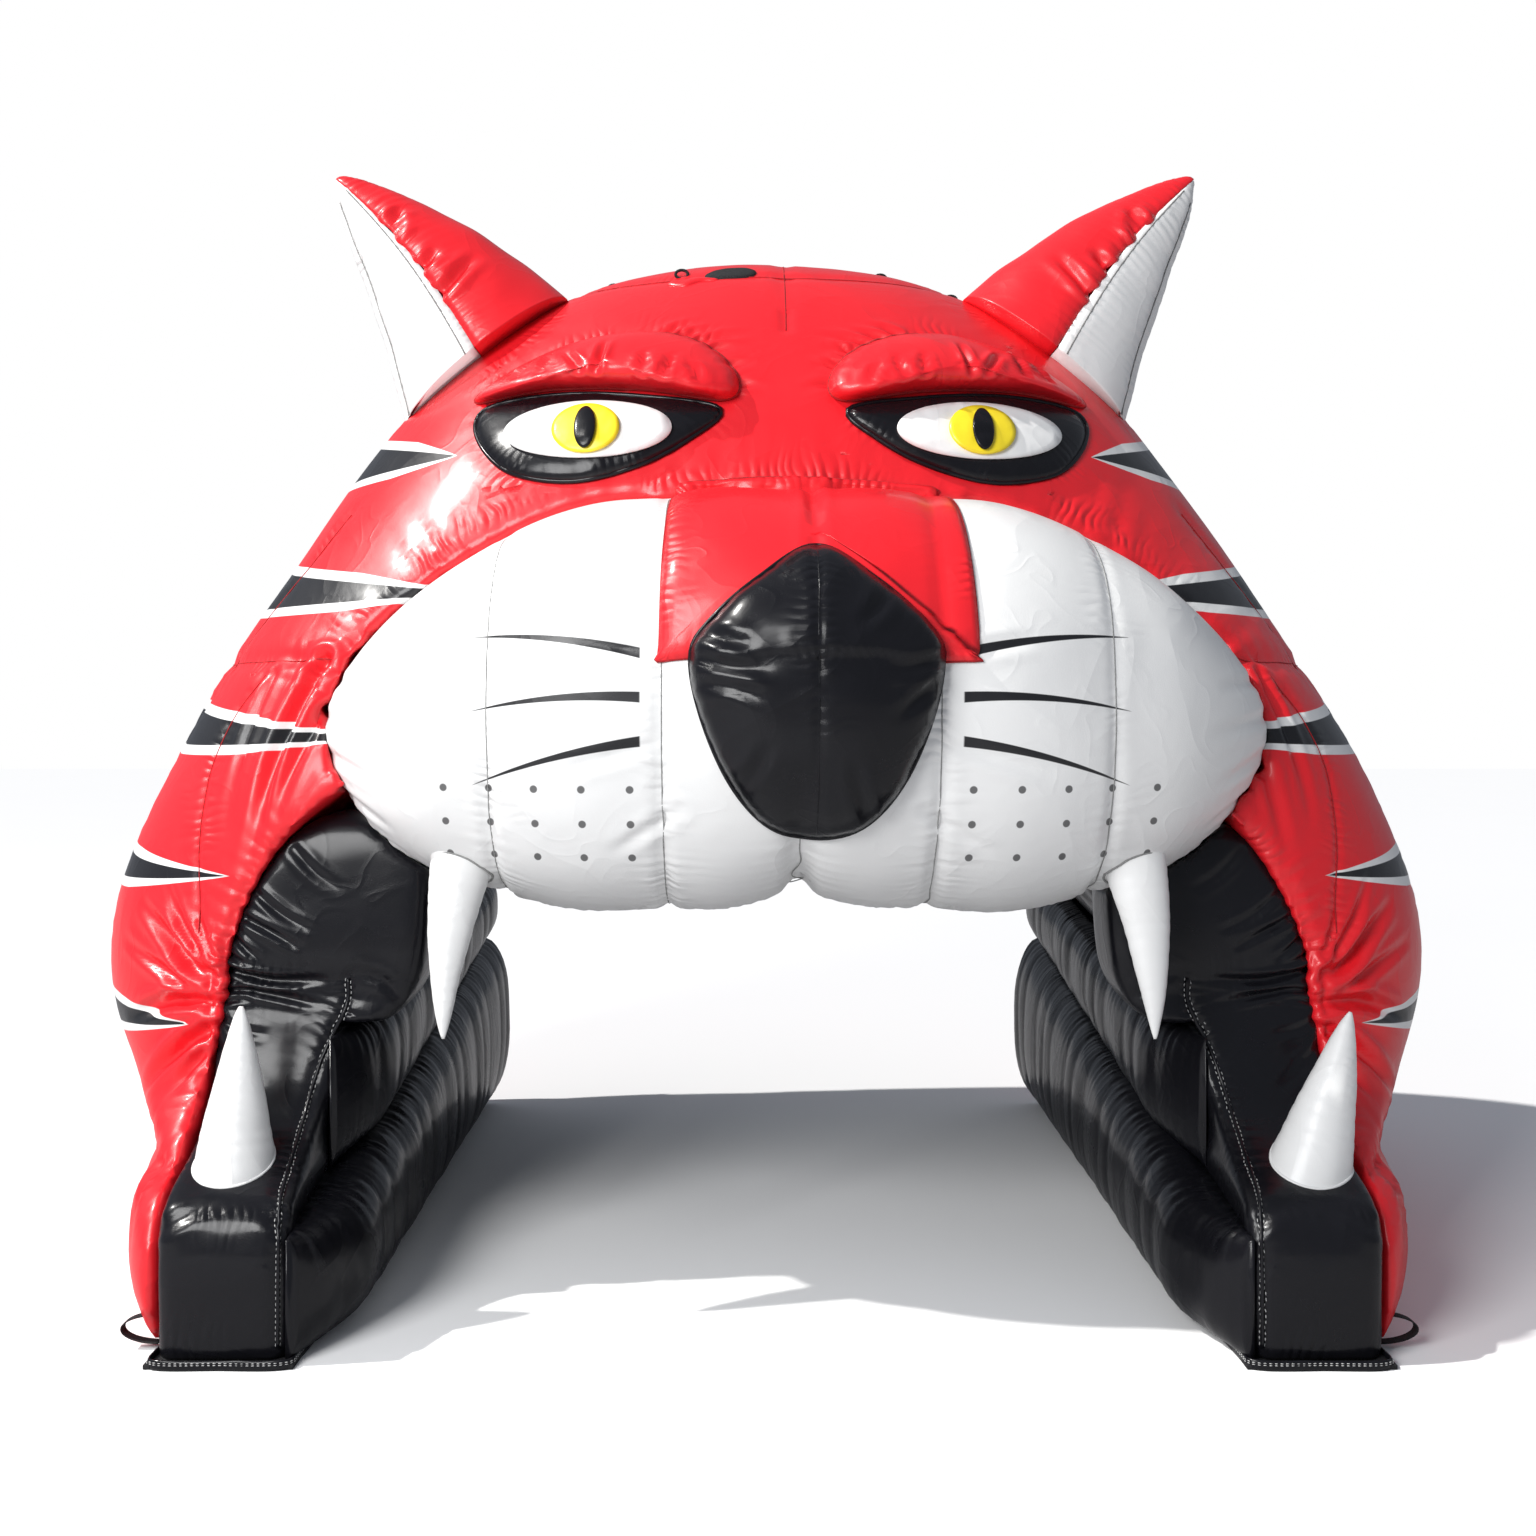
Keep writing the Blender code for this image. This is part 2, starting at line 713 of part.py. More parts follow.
def main():
    """Build every piece."""
    clear_scene()
    group = collection(NAME)
    cutters = collection("cutters")
    finishes = {
        "red": finish("red_vinyl", RED, 0.3),
        "black": finish("black_vinyl", BLACK, 0.28),
        "white": finish("white_vinyl", WHITE, 0.35),
        "yellow": finish("yellow_vinyl", YELLOW, 0.35),
        "webbing": finish("webbing", BLACK, 0.8),
    }
    head = make_head(group, finishes["red"])
    muzzle = make_muzzle(group, finishes["white"])
    muzzle_cutter = grown(muzzle, cutters)
    for cutter in make_passage_cutters(cutters):
        cut(head, cutter)
    cut(head, muzzle_cutter)
    cut(make_vault(group, finishes["black"]), muzzle_cutter)
    jaws = {}
    for side in (-1, 1):
        jaws[side] = make_jaw(side, group, cutters, finishes["black"])
        cut(jaws[side], muzzle_cutter)
        cut(head, grown(jaws[side], cutters))
        for level in (0, 1):
            make_tube(side, level, group, finishes["black"])
        make_base(side, group, finishes["webbing"])
        make_tab(side, head, group, cutters, finishes["webbing"])
    make_face(head, muzzle, group, cutters, finishes)
    make_ears(head, group, cutters, finishes)
    make_teeth(muzzle, jaws, group, cutters, finishes["white"])
    make_vent(head, group, cutters, finishes["webbing"])


main()
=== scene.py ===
"""Looks of the inflatable entry tunnel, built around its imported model.

The tunnel is a big cat's head of coated cloth, blown up on two legs. Each of its air chambers
is a padded piece that stands for its solid, with the seams, gathers and sag of cloth under
pressure. Metres, +Z up, +X to the right of someone facing the head, who stands at -Y.
"""

import logging
import math
from collections.abc import Callable, Iterable, Sequence
from dataclasses import dataclass, field
from enum import Enum

import bmesh
import bpy
import numpy as np
from mathutils import Matrix, Vector, noise
from mathutils.bvhtree import BVHTree


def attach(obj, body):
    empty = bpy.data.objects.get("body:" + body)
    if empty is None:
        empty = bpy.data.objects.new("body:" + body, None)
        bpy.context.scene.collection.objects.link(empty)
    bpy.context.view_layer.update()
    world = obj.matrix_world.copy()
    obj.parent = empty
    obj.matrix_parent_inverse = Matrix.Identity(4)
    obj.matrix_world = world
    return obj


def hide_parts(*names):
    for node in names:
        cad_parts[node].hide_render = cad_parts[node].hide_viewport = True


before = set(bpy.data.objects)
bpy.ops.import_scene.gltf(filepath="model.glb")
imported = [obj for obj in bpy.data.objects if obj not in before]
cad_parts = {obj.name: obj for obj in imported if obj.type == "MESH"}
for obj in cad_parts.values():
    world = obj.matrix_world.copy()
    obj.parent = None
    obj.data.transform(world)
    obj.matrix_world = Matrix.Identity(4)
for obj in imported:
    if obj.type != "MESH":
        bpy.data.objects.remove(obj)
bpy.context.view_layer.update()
log = logging.getLogger("tunnel")

TOE_Y = -2.108  # depths below run back from the front of the toes
OUTSIDE = 9.0  # clear of the whole tunnel
BACK_DEPTH = 4.30
BEHIND = BACK_DEPTH + 1.0
ARCH_HALF, ARCH_HIGH, ARCH_POWER, ARCH_STEPS = 2.49, 2.52, 4.0, 40
PASSAGE_HALF, PASSAGE_HIGH = 2.47, 2.50
VAULT_HALF, VAULT_HIGH, VAULT_FRONT = 1.93, 2.10, 1.25
TUBE_OUTER = 1.94
FOOT = 0.0203  # underside of the air chambers, on the base strips
FACE_LEAN, MUZZLE_LEAN, NOSE_LEAN = 0.08, 0.13, 0.19
TUBE_SEAMS = ((FOOT, 0.0), (0.50, 0.145), (1.10, 0.10))  # height, rise per metre back
CLEARANCE = 0.003  # between chambers that press on each other
COARSE = 1.0  # larger cells while trying things out

Line = np.ndarray
Thing = bpy.types.Object
Corners = tuple[tuple[float, float], ...]
Folds = tuple[tuple[Corners, float, float], ...]  # corners, depth and width of each
Shares = Sequence[float]
Draw = tuple[float, float, float, float, float]  # a seam's depth, width, gather, pitch and reach
THREAD = 0.0028  # radius of the thread in a seam


class Side(Enum):
    """One side of the tunnel."""

    LEFT = -1
    RIGHT = 1

    @property
    def word(self) -> str:
        """The side as it is written in names."""
        return self.name.lower()


# --- Shader expressions ---


class Expr:
    """A number that varies over a surface. Operators on it add Math nodes."""

    def __init__(self, tree: "Tree", socket: bpy.types.NodeSocket) -> None:
        """Wrap an output socket of the tree."""
        self.tree = tree
        self.socket = socket

    def math(self, operation: str, *others: "Expr | float") -> "Expr":
        """One Math node on this and others."""
        inputs = dict(enumerate((self, *others)))
        return self.tree.out(self.tree.add("ShaderNodeMath", {"operation": operation}, inputs))

    def __add__(self, other: "Expr | float") -> "Expr":
        """Sum."""
        return self.math("ADD", other)

    __radd__ = __add__

    def __sub__(self, other: "Expr | float") -> "Expr":
        """Difference."""
        return self.math("SUBTRACT", other)

    def __rsub__(self, other: float) -> "Expr":
        """Difference from a number."""
        return (self * -1.0) + other

    def __mul__(self, other: "Expr | float") -> "Expr":
        """Product."""
        return self.math("MULTIPLY", other)

    __rmul__ = __mul__

    def __truediv__(self, other: "Expr | float") -> "Expr":
        """Quotient."""
        return self.math("DIVIDE", other)

    def __pow__(self, other: "Expr | float") -> "Expr":
        """Power."""
        return self.math("POWER", other)

    def __abs__(self) -> "Expr":
        """Size without sign."""
        return self.math("ABSOLUTE")

    def least(self, other: "Expr | float") -> "Expr":
        """The smaller of two."""
        return self.math("MINIMUM", other)

    def most(self, other: "Expr | float") -> "Expr":
        """The larger of two."""
        return self.math("MAXIMUM", other)

    def between(self, low: float, high: float) -> "Expr":
        """A soft step from 0 at low to 1 at high.

        Args:
            low: where it is 0.
            high: where it is 1.

        Returns:
            The step.
        """
        settings = {"interpolation_type": "SMOOTHSTEP"}
        inputs = {"Value": self, "From Min": low, "From Max": high}
        return self.tree.out(self.tree.add("ShaderNodeMapRange", settings, inputs))


class Tree:
    """The nodes of one material."""

    def __init__(self, name: str) -> None:
        """Start a material with its Principled shader.

        Args:
            name: the material's name.
        """
        self.material = bpy.data.materials.new(name)
        self.material.use_nodes = True
        self.nodes = self.material.node_tree.nodes
        self.shader = self.nodes["Principled BSDF"]
        self.place = self.add("ShaderNodeTexCoord").outputs["Object"]

    def feed(self, socket: bpy.types.NodeSocket, value: object) -> None:
        """Set a socket, or link it where the value is an expression or a socket.

        Args:
            socket: the input.
            value: a number, a colour, an expression or a socket.
        """
        if isinstance(value, Expr):
            value = value.socket
        if isinstance(value, bpy.types.NodeSocket):
            self.material.node_tree.links.new(value, socket)
        else:
            socket.default_value = value

    def add(
        self, kind: str, settings: dict | None = None, inputs: dict | None = None
    ) -> bpy.types.Node:
        """Add one node.

        Args:
            kind: the node's type.
            settings: its own settings.
            inputs: values or links by the name or number of a socket.

        Returns:
            The node.
        """
        node = self.nodes.new(kind)
        for key, value in (settings or {}).items():
            setattr(node, key, value)
        for key, value in (inputs or {}).items():
            self.feed(node.inputs[key], value)
        return node

    def out(self, node: bpy.types.Node, name: str | int = 0) -> Expr:
        """One of a node's outputs as an expression."""
        return Expr(self, node.outputs[name])

    def axes(self) -> tuple[Expr, Expr, Expr]:
        """Side, depth behind the toes and height of the point."""
        split = self.add("ShaderNodeSeparateXYZ", inputs={0: self.place})
        return self.out(split, 0), self.out(split, 1) - TOE_Y, self.out(split, 2)

    def noise(self, scale: float, detail: float = 2.0, distortion: float = 0.0) -> Expr:
        """Cloudy noise about 0.5, in cells per metre, with octaves of detail."""
        inputs = {"Vector": self.place, "Scale": scale, "Detail": detail, "Distortion": distortion}
        return self.out(self.add("ShaderNodeTexNoise", inputs=inputs))

    def kept(self, name: str) -> Expr:
        """A number kept at the mesh's points; 0 where there is none."""
        return self.out(self.add("ShaderNodeAttribute", {"attribute_name": name}), "Fac")

    def mix(self, share: Expr, first: object, second: object) -> bpy.types.NodeSocket:
        """Blend two colours by a share of the second."""
        node = self.add("ShaderNodeMix", {"data_type": "RGBA"}, {0: share, 6: first, 7: second})
        return node.outputs[2]

    def bump(self, height: Expr, distance: float) -> None:
        """Feed the shader's normal from a height in units of distance."""
        node = self.add("ShaderNodeBump", inputs={"Height": height, "Distance": distance})
        self.feed(self.shader.inputs["Normal"], node.outputs[0])


# --- Finishes ---

Colour = tuple[float, float, float, float]
RED: Colour = (0.76, 0.012, 0.020, 1.0)
BLACK: Colour = (0.006, 0.006, 0.008, 1.0)
WHITE: Colour = (0.80, 0.80, 0.79, 1.0)
YELLOW: Colour = (0.92, 0.72, 0.02, 1.0)
SEAM_RED: Colour = (0.56, 0.010, 0.015, 1.0)
SEAM_GREY: Colour = (0.42, 0.42, 0.41, 1.0)
Marks = Callable[[Tree, object], bpy.types.NodeSocket]
SEAM_APART = 0.09  # from a seam's end, or between two seams, where puckers fade
# kept at points: distance from a seam, length along it
SEAM_OFF, SEAM_ARC = "seam_off", "seam_arc"


def darker(colour: Colour, share: float) -> Colour:
    """A share of a colour's brightness."""
    return tuple(share * part for part in colour[:3]) + (1.0,)


@dataclass(frozen=True)
class Vinyl:
    """Coated cloth, drawn tight: a fine weave under a glossy skin, with small creases."""

    name: str
    colour: Colour
    roughness: float
    crinkle: float = 0.004  # height of the creases
    coat: float = 0.30
    sheen: float = 0.5
    pucker: float = 0.0085  # height of the puckers at a seam
    pucker_pitch: float = 0.045
    marks: Marks | None = None

    def material(self) -> bpy.types.Material:
        """Build the material.

        Returns:
            The material.
        """
        tree = Tree(self.name)
        shade = tree.noise(0.9, 3.0)
        base = tree.mix(shade.between(0.40, 0.75) * 0.45, self.colour, darker(self.colour, 0.80))
        if self.marks:
            base = self.marks(tree, base)
        tree.feed(tree.shader.inputs["Base Color"], base)
        smear = tree.noise(4.0, 4.0, 0.6)
        tree.feed(tree.shader.inputs["Roughness"], smear * 0.14 + (self.roughness - 0.07))
        tree.shader.inputs["Coat Weight"].default_value = self.coat
        tree.shader.inputs["Coat Roughness"].default_value = 0.16
        tree.shader.inputs["Specular IOR Level"].default_value = self.sheen
        fold = 1.0 - abs(tree.noise(1.3, 1.0, 0.7) - 0.5) * 6.0
        crease = 1.0 - abs(tree.noise(3.4, 1.0, 1.0) - 0.5) * 9.0
        weave = tree.noise(230.0, 1.0)
        height = fold.most(0.0) ** 2.0 + crease.most(0.0) ** 2.0 * 0.30 + weave * 0.16
        tree.bump(height * self.crinkle + self.puckers(tree), 1.0)
        return tree.material

    def puckers(self, tree: Tree) -> Expr:
        """Short, uneven puckers across the seams, in metres.

        Args:
            tree: the material's nodes.

        Returns:
            Their height.
        """
        off, arc = tree.kept(SEAM_OFF), tree.kept(SEAM_ARC)
        drift = tree.noise(5.0, 1.0) * 7.0
        wave = abs((arc * (math.pi / self.pucker_pitch) + drift).math("SINE")) ** 1.4
        size = tree.noise(3.6, 2.0).between(0.42, 0.68) * 0.92 + 0.08
        reach = size * 0.05 + 0.02
        near = (off / reach * -1.0).math("EXPONENT")
        return wave * near * size * self.pucker


@dataclass(frozen=True)
class Woven:
    """Webbing or thread: a plain, dull weave with ribs across it."""

    name: str
    colour: Colour
    ribs: float = 400.0

    def material(self) -> bpy.types.Material:
        """Build the material.

        Returns:
            The material.
        """
        tree = Tree(self.name)
        side, depth, high = tree.axes()
        rib = ((side + depth + high) * self.ribs).math("SINE")
        shade = tree.noise(60.0, 2.0)
        base = tree.mix(shade, self.colour, darker(self.colour, 0.6))
        tree.feed(tree.shader.inputs["Base Color"], base)
        tree.feed(tree.shader.inputs["Roughness"], shade * 0.2 + 0.65)
        tree.bump(rib * 0.5 + tree.noise(900.0), 0.002)
        return tree.material


@dataclass(frozen=True)
class Ground:
    """A plain pale floor, which throws back less light than it shows, as a matt board does."""

    name: str = "pale_floor"
    seen: Colour = (0.99, 0.99, 0.99, 1.0)
    thrown: Colour = (0.46, 0.46, 0.47, 1.0)

    def material(self) -> bpy.types.Material:
        """Build the material.

        Returns:
            The material.
        """
        tree = Tree(self.name)
        shade = tree.noise(0.4, 2.0)
        base = tree.mix(shade, self.seen, darker(self.seen, 0.99))
        tree.feed(tree.shader.inputs["Base Color"], base)
        tree.shader.inputs["Roughness"].default_value = 0.9
        board = tree.add("ShaderNodeBsdfDiffuse", inputs={"Color": self.thrown})
        camera = tree.out(tree.add("ShaderNodeLightPath"), "Is Camera Ray")
        inputs = {0: camera, 1: board.outputs[0], 2: tree.shader.outputs[0]}
        mix = tree.add("ShaderNodeMixShader", inputs=inputs)
        tree.feed(tree.nodes["Material Output"].inputs["Surface"], mix.outputs[0])
        return tree.material


@dataclass(frozen=True)
class SideStripes:
    """Black tapered stripes with white edges, level with each other down both sides of the head.

    Angles go round the head in plan: 0 is straight out to the side, -90 straight ahead.
    """

    # height and angle of the front tip, height and angle of the back tip
    stripes: tuple[tuple[float, ...], ...] = (
        (3.84, -31.0, 4.16, 34.0),
        (3.16, -41.0, 3.52, 44.0),
        (2.50, -37.0, 2.84, 40.0),
        (1.88, -29.0, 2.14, 46.0),
        (1.22, -28.0, 1.40, 38.0),
    )
    middle: float = 2.2  # depth that the angles turn about
    half: float = 0.15
    border: float = 0.045
    sag: float = 0.30

    def __call__(self, tree: Tree, base: object) -> bpy.types.NodeSocket:
        """Print the stripes over a base colour.

        Args:
            tree: the material's nodes.
            base: the colour under them.

        Returns:
            The printed colour.
        """
        side, depth, high = tree.axes()
        angle = (depth - self.middle).math("ARCTAN2", abs(side - FACE_LEAN))
        ink = rim = None
        for tip, start, back, end in self.stripes:
            start, end = math.radians(start), math.radians(end)
            share = (angle - start) / (end - start)
            rest = 1.0 - share
            spindle = share.most(0.0) ** 0.9 * rest.most(0.0) ** 0.6
            off = abs(high - (share * (back - tip) + tip - share * rest * self.sag))
            edge = off - spindle * 2.0 * self.half
            outer = edge - (spindle * 6.0).least(1.0) * self.border
            ink = edge if ink is None else ink.least(edge)
            rim = outer if rim is None else rim.least(outer)
        white = 1.0 - rim.between(-0.004, 0.0)
        black = 1.0 - ink.between(-0.004, 0.0)
        return tree.mix(black, tree.mix(white, base, WHITE), BLACK)


@dataclass(frozen=True)
class Whiskers:
    """A plain fan of whiskers and neat rows of spots, the same on both lobes."""

    # inner and outer height of each stroke
    strokes: Corners = ((2.86, 2.93), (2.68, 2.62), (2.50, 2.31))
    start: float = 0.66
    length: float = 0.72
    thick: float = 0.022
    spot: float = 0.016
    pitch: tuple[float, float] = (0.20, 0.145)
    spots_from: tuple[float, float] = (0.60, 1.94)
    spots_to: tuple[float, float] = (1.60, 2.375)

    def __call__(self, tree: Tree, base: object) -> bpy.types.NodeSocket:
        """Print the strokes and spots over a base colour.

        Args:
            tree: the material's nodes.
            base: the colour under them.

        Returns:
            The printed colour.
        """
        side, depth, high = tree.axes()
        out = abs(side - MUZZLE_LEAN)
        share = (out - self.start) / self.length
        taper = (1.0 - share).most(0.0) ** 0.8 * self.thick
        within = share.between(-0.012, 0.0) * (1.0 - share.between(0.98, 1.0))
        ink = None
        for inner, outer in self.strokes:
            line = share * (outer - inner) + inner + share * (1.0 - share) * 0.10
            edge = abs(high - line) - taper
            ink = edge if ink is None else ink.least(edge)
        ink = (1.0 - ink.between(-0.002, 0.002)) * within
        across = ((out - self.spots_from[0]) / self.pitch[0]).math("FRACT") - 0.5
        up = ((high - self.spots_from[1]) / self.pitch[1]).math("FRACT") - 0.5
        away = ((across * self.pitch[0]) ** 2.0 + (up * self.pitch[1]) ** 2.0) ** 0.5
        spots = 1.0 - away.between(self.spot - 0.002, self.spot + 0.002)
        for value, low, top in zip((out, high), self.spots_from, self.spots_to):
            spots = spots * value.math("GREATER_THAN", low) * value.math("LESS_THAN", top)
        front = 1.0 - depth.between(0.7, 0.8)
        return tree.mix(ink.most(spots * 0.85) * front, base, BLACK)


# --- Shapes ---


def turns(count: int, start: float = 0.0) -> np.ndarray:
    """Equal angles round a full turn."""
    return start + 2 * math.pi * np.arange(count) / count


def power_point(angles: np.ndarray, power: float) -> tuple[np.ndarray, np.ndarray]:
    """Points of the unit superellipse at some angles.

    Args:
        angles: the angles.
        power: 2 for an ellipse, more for a squarer one.

    Returns:
        Both coordinates.
    """
    across, along = np.cos(angles), np.sin(angles)
    reach = 2 / power
    return np.sign(across) * np.abs(across) ** reach, np.sign(along) * np.abs(along) ** reach


def in_place(side: np.ndarray, depth: np.ndarray, height: np.ndarray) -> Line:
    """Points from their side, depth behind the toes and height."""
    parts = np.broadcast_arrays(side, np.asarray(depth) + TOE_Y, height)
    return np.stack(parts, axis=-1).astype(float)


def placed(name: str, data: bpy.types.ID) -> Thing:
    """A new object in the scene.

    Args:
        name: its name.
        data: its mesh, light or camera.

    Returns:
        The object.
    """
    thing = bpy.data.objects.new(name, data)
    bpy.context.scene.collection.objects.link(thing)
    return thing


def mirrored(corners: Sequence[Sequence[float]], side: Side, lean: float = 0.0) -> Line:
    """Sides and heights on one side of the tunnel, moved over by a lean."""
    return np.array([(across * side.value + lean, up) for across, up in corners])


def mesh_of(name: str, shape: bmesh.types.BMesh) -> Thing:
    """A finished bmesh as a smooth object.

    Args:
        name: the object's name.
        shape: the bmesh, which is freed.

    Returns:
        The object.
    """
    mesh = bpy.data.meshes.new(name)
    shape.to_mesh(mesh)
    shape.free()
    mesh.shade_smooth()
    return placed(name, mesh)


def lofted(name: str, rings: Line, sharp_below: float | None = None) -> Thing:
    """A closed skin through rings of points, shaped from a grid.

    Args:
        name: the object's name.
        rings: points as [ring, point, axis].
        sharp_below: keep edges under this height sharp when the skin is softened.

    Returns:
        The object.
    """
    count, around = rings.shape[:2]
    shape = bmesh.new()
    bmesh.ops.create_grid(shape, x_segments=around, y_segments=count - 1, size=1.0)
    for vert in shape.verts:
        column = round((vert.co.x + 1) / 2 * around) % around
        ring = round((vert.co.y + 1) / 2 * (count - 1))
        vert.co = rings[ring, column]
    bmesh.ops.remove_doubles(shape, verts=shape.verts, dist=1e-6)
    bmesh.ops.holes_fill(shape, edges=[edge for edge in shape.edges if edge.is_boundary])
    bmesh.ops.recalc_face_normals(shape, faces=shape.faces)
    if sharp_below is not None:
        crease = shape.edges.layers.float.new("crease_edge")
        for edge in shape.edges:
            if all(vert.co.z < sharp_below for vert in edge.verts):
                edge[crease] = 1.0
    return mesh_of(name, shape)


def baked(thing: Thing) -> Thing:
    """Apply an object's modifiers.

    Args:
        thing: the object.

    Returns:
        The object.
    """
    bpy.context.view_layer.update()
    graph = bpy.context.evaluated_depsgraph_get()
    mesh = bpy.data.meshes.new_from_object(thing.evaluated_get(graph))
    thing.modifiers.clear()
    old = thing.data
    thing.data = mesh
    bpy.data.meshes.remove(old)
    mesh.shade_smooth()
    return thing


def softened(thing: Thing, levels: int) -> Thing:
    """Round an object with subdivision.

    Args:
        thing: the object.
        levels: how many times it is divided.

    Returns:
        The object.
    """
    made = thing.modifiers.new("soften", "SUBSURF")
    made.levels = made.render_levels = levels
    return baked(thing)


def discard(*things: Thing) -> None:
    """Remove helper objects.

    Args:
        things: the objects.
    """
    for thing in things:
        mesh = thing.data
        bpy.data.objects.remove(thing)
        bpy.data.meshes.remove(mesh)


def swollen(thing: Thing, amount: float) -> Thing:
    """A copy of an object with its skin moved out.

    Args:
        thing: the object.
        amount: how far, in metres.

    Returns:
        The copy.
    """
    copy = placed("cut_" + thing.name, thing.data.copy())
    swell = copy.modifiers.new("swell", "DISPLACE")
    swell.strength, swell.mid_level = amount, 0.0
    return baked(copy)


def cut(thing: Thing, cutter: Thing) -> Thing:
    """Take a cutter out of an object, and remove the cutter.

    Args:
        thing: the object.
        cutter: what is taken out.

    Returns:
        The object.
    """
    made = thing.modifiers.new("cut", "BOOLEAN")
    made.operation, made.solver, made.object = "DIFFERENCE", "EXACT", cutter
    baked(thing)
    discard(cutter)
    return thing


def box(low: Vector, high: Vector) -> bmesh.types.BMesh:
    """A box between two corners.

    Args:
        low: its lowest corner.
        high: its highest corner.

    Returns:
        The box.
    """
    shape = bmesh.new()
    bmesh.ops.create_cube(shape, size=1.0)
    bmesh.ops.scale(shape, vec=high - low, verts=shape.verts)
    bmesh.ops.translate(shape, vec=(high + low) / 2, verts=shape.verts)
    return shape


def even(thing: Thing, cell: float, rounds: int) -> Thing:
    """Remake a skin in even cells, its edges rounded as filled cloth's are.

    Args:
        thing: the object.
        cell: side of a cell in metres.
        rounds: how many times its points are smoothed.

    Returns:
        The object.
    """
    made = thing.modifiers.new("even", "REMESH")
    made.mode, made.voxel_size = "VOXEL", cell * COARSE
    smooth = thing.modifiers.new("smooth", "SMOOTH")
    smooth.factor, smooth.iterations = 0.5, rounds
    return baked(thing)


@dataclass(frozen=True)
class Zone:
    """Where small folds stand: spans of distance from the middle and height, and a depth."""

    off: tuple[float, float]
    heights: tuple[float, float]
    depth: float
    lean: float = 0.0

    def holds(self, at: Vector) -> bool:
        """Is a point in the zone?

        Args:
            at: the point.

        Returns:
            Whether it is.
        """
        off = abs(at.x - self.lean)
        level = self.heights[0] < at.z < self.heights[1]
        return level and self.off[0] < off < self.off[1] and at.y < TOE_Y + self.depth


def finer(thing: Thing, zone: Zone) -> Thing:
    """Divide a skin's faces again, where their middles are in a zone, for small folds.

    Args:
        thing: the object.
        zone: where the small folds stand.

    Returns:
        The object.
    """
    shape = bmesh.new()
    shape.from_mesh(thing.data)
    faces = [face for face in shape.faces if zone.holds(face.calc_center_median())]
    edges = {edge for face in faces for edge in face.edges}
    bmesh.ops.subdivide_edges(shape, edges=list(edges), cuts=2, use_grid_fill=True, smooth=0.6)
    shape.to_mesh(thing.data)
    shape.free()
    thing.data.update()
    return thing


def curve(corners: Sequence[Sequence[float]], spacing: float, closed: bool = False) -> Line:
    """A smooth line through corners, in even steps.

    Args:
        corners: points of two or three axes.
        spacing: rough length of a step.
        closed: join the last corner to the first.

    Returns:
        The line's points; a closed line doesn't repeat its first one.
    """
    ends = np.array(corners, float)
    if closed:
        ends = np.vstack([ends[-1:], ends, ends[:2]])
    else:
        ends = np.vstack([2 * ends[:1] - ends[1:2], ends, 2 * ends[-1:] - ends[-2:-1]])
    steps = np.linspace(0, 1, 24, endpoint=False)[:, None]
    parts = []
    for p0, p1, p2, p3 in zip(ends, ends[1:], ends[2:], ends[3:]):
        straight = 2 * p1 + (p2 - p0) * steps
        bent = (2 * p0 - 5 * p1 + 4 * p2 - p3) * steps**2 + (3 * p1 - p0 - 3 * p2 + p3) * steps**3
        parts.append(0.5 * (straight + bent))
    line = np.vstack([*parts, ends[-2][None]])
    return stepped(line, spacing)[: -1 if closed else None]


def arcs(line: Line) -> np.ndarray:
    """Length along a line at each of its points."""
    return np.concatenate([[0.0], np.cumsum(np.linalg.norm(np.diff(line, axis=0), axis=1))])


def stepped(line: Line, spacing: float) -> Line:
    """A line again, in even steps of about a spacing.

    Args:
        line: its points.
        spacing: rough length of a step.

    Returns:
        The new points.
    """
    along = arcs(line)
    at = np.linspace(0, along[-1], max(2, round(along[-1] / spacing) + 1))
    return np.stack([np.interp(at, along, line[:, axis]) for axis in range(line.shape[1])], axis=1)


def wobble(phase: np.ndarray, seed: float) -> np.ndarray:
    """A slow, uneven wave between -1 and 1."""
    waves = np.sin(phase * 1.7 + seed * 5.1) + np.sin(phase * 2.9 + seed * 1.3)
    return (waves + np.sin(phase * 0.83 + seed * 2.2)) / 3


def folds(arc: np.ndarray, pitch: float, seed: float) -> np.ndarray:
    """Uneven gathered folds along a seam, round on top and sharp in their valleys.

    Args:
        arc: lengths along the seam.
        pitch: rough length of a fold.
        seed: makes them differ.

    Returns:
        Heights, as shares of the full one.
    """
    phase = arc / pitch
    phase = phase + 0.35 * wobble(phase, seed)
    size = 0.65 + 0.55 * wobble(phase * 0.7, seed + 3.0)
    return size * (np.abs(np.sin(math.pi * phase)) - 0.62)


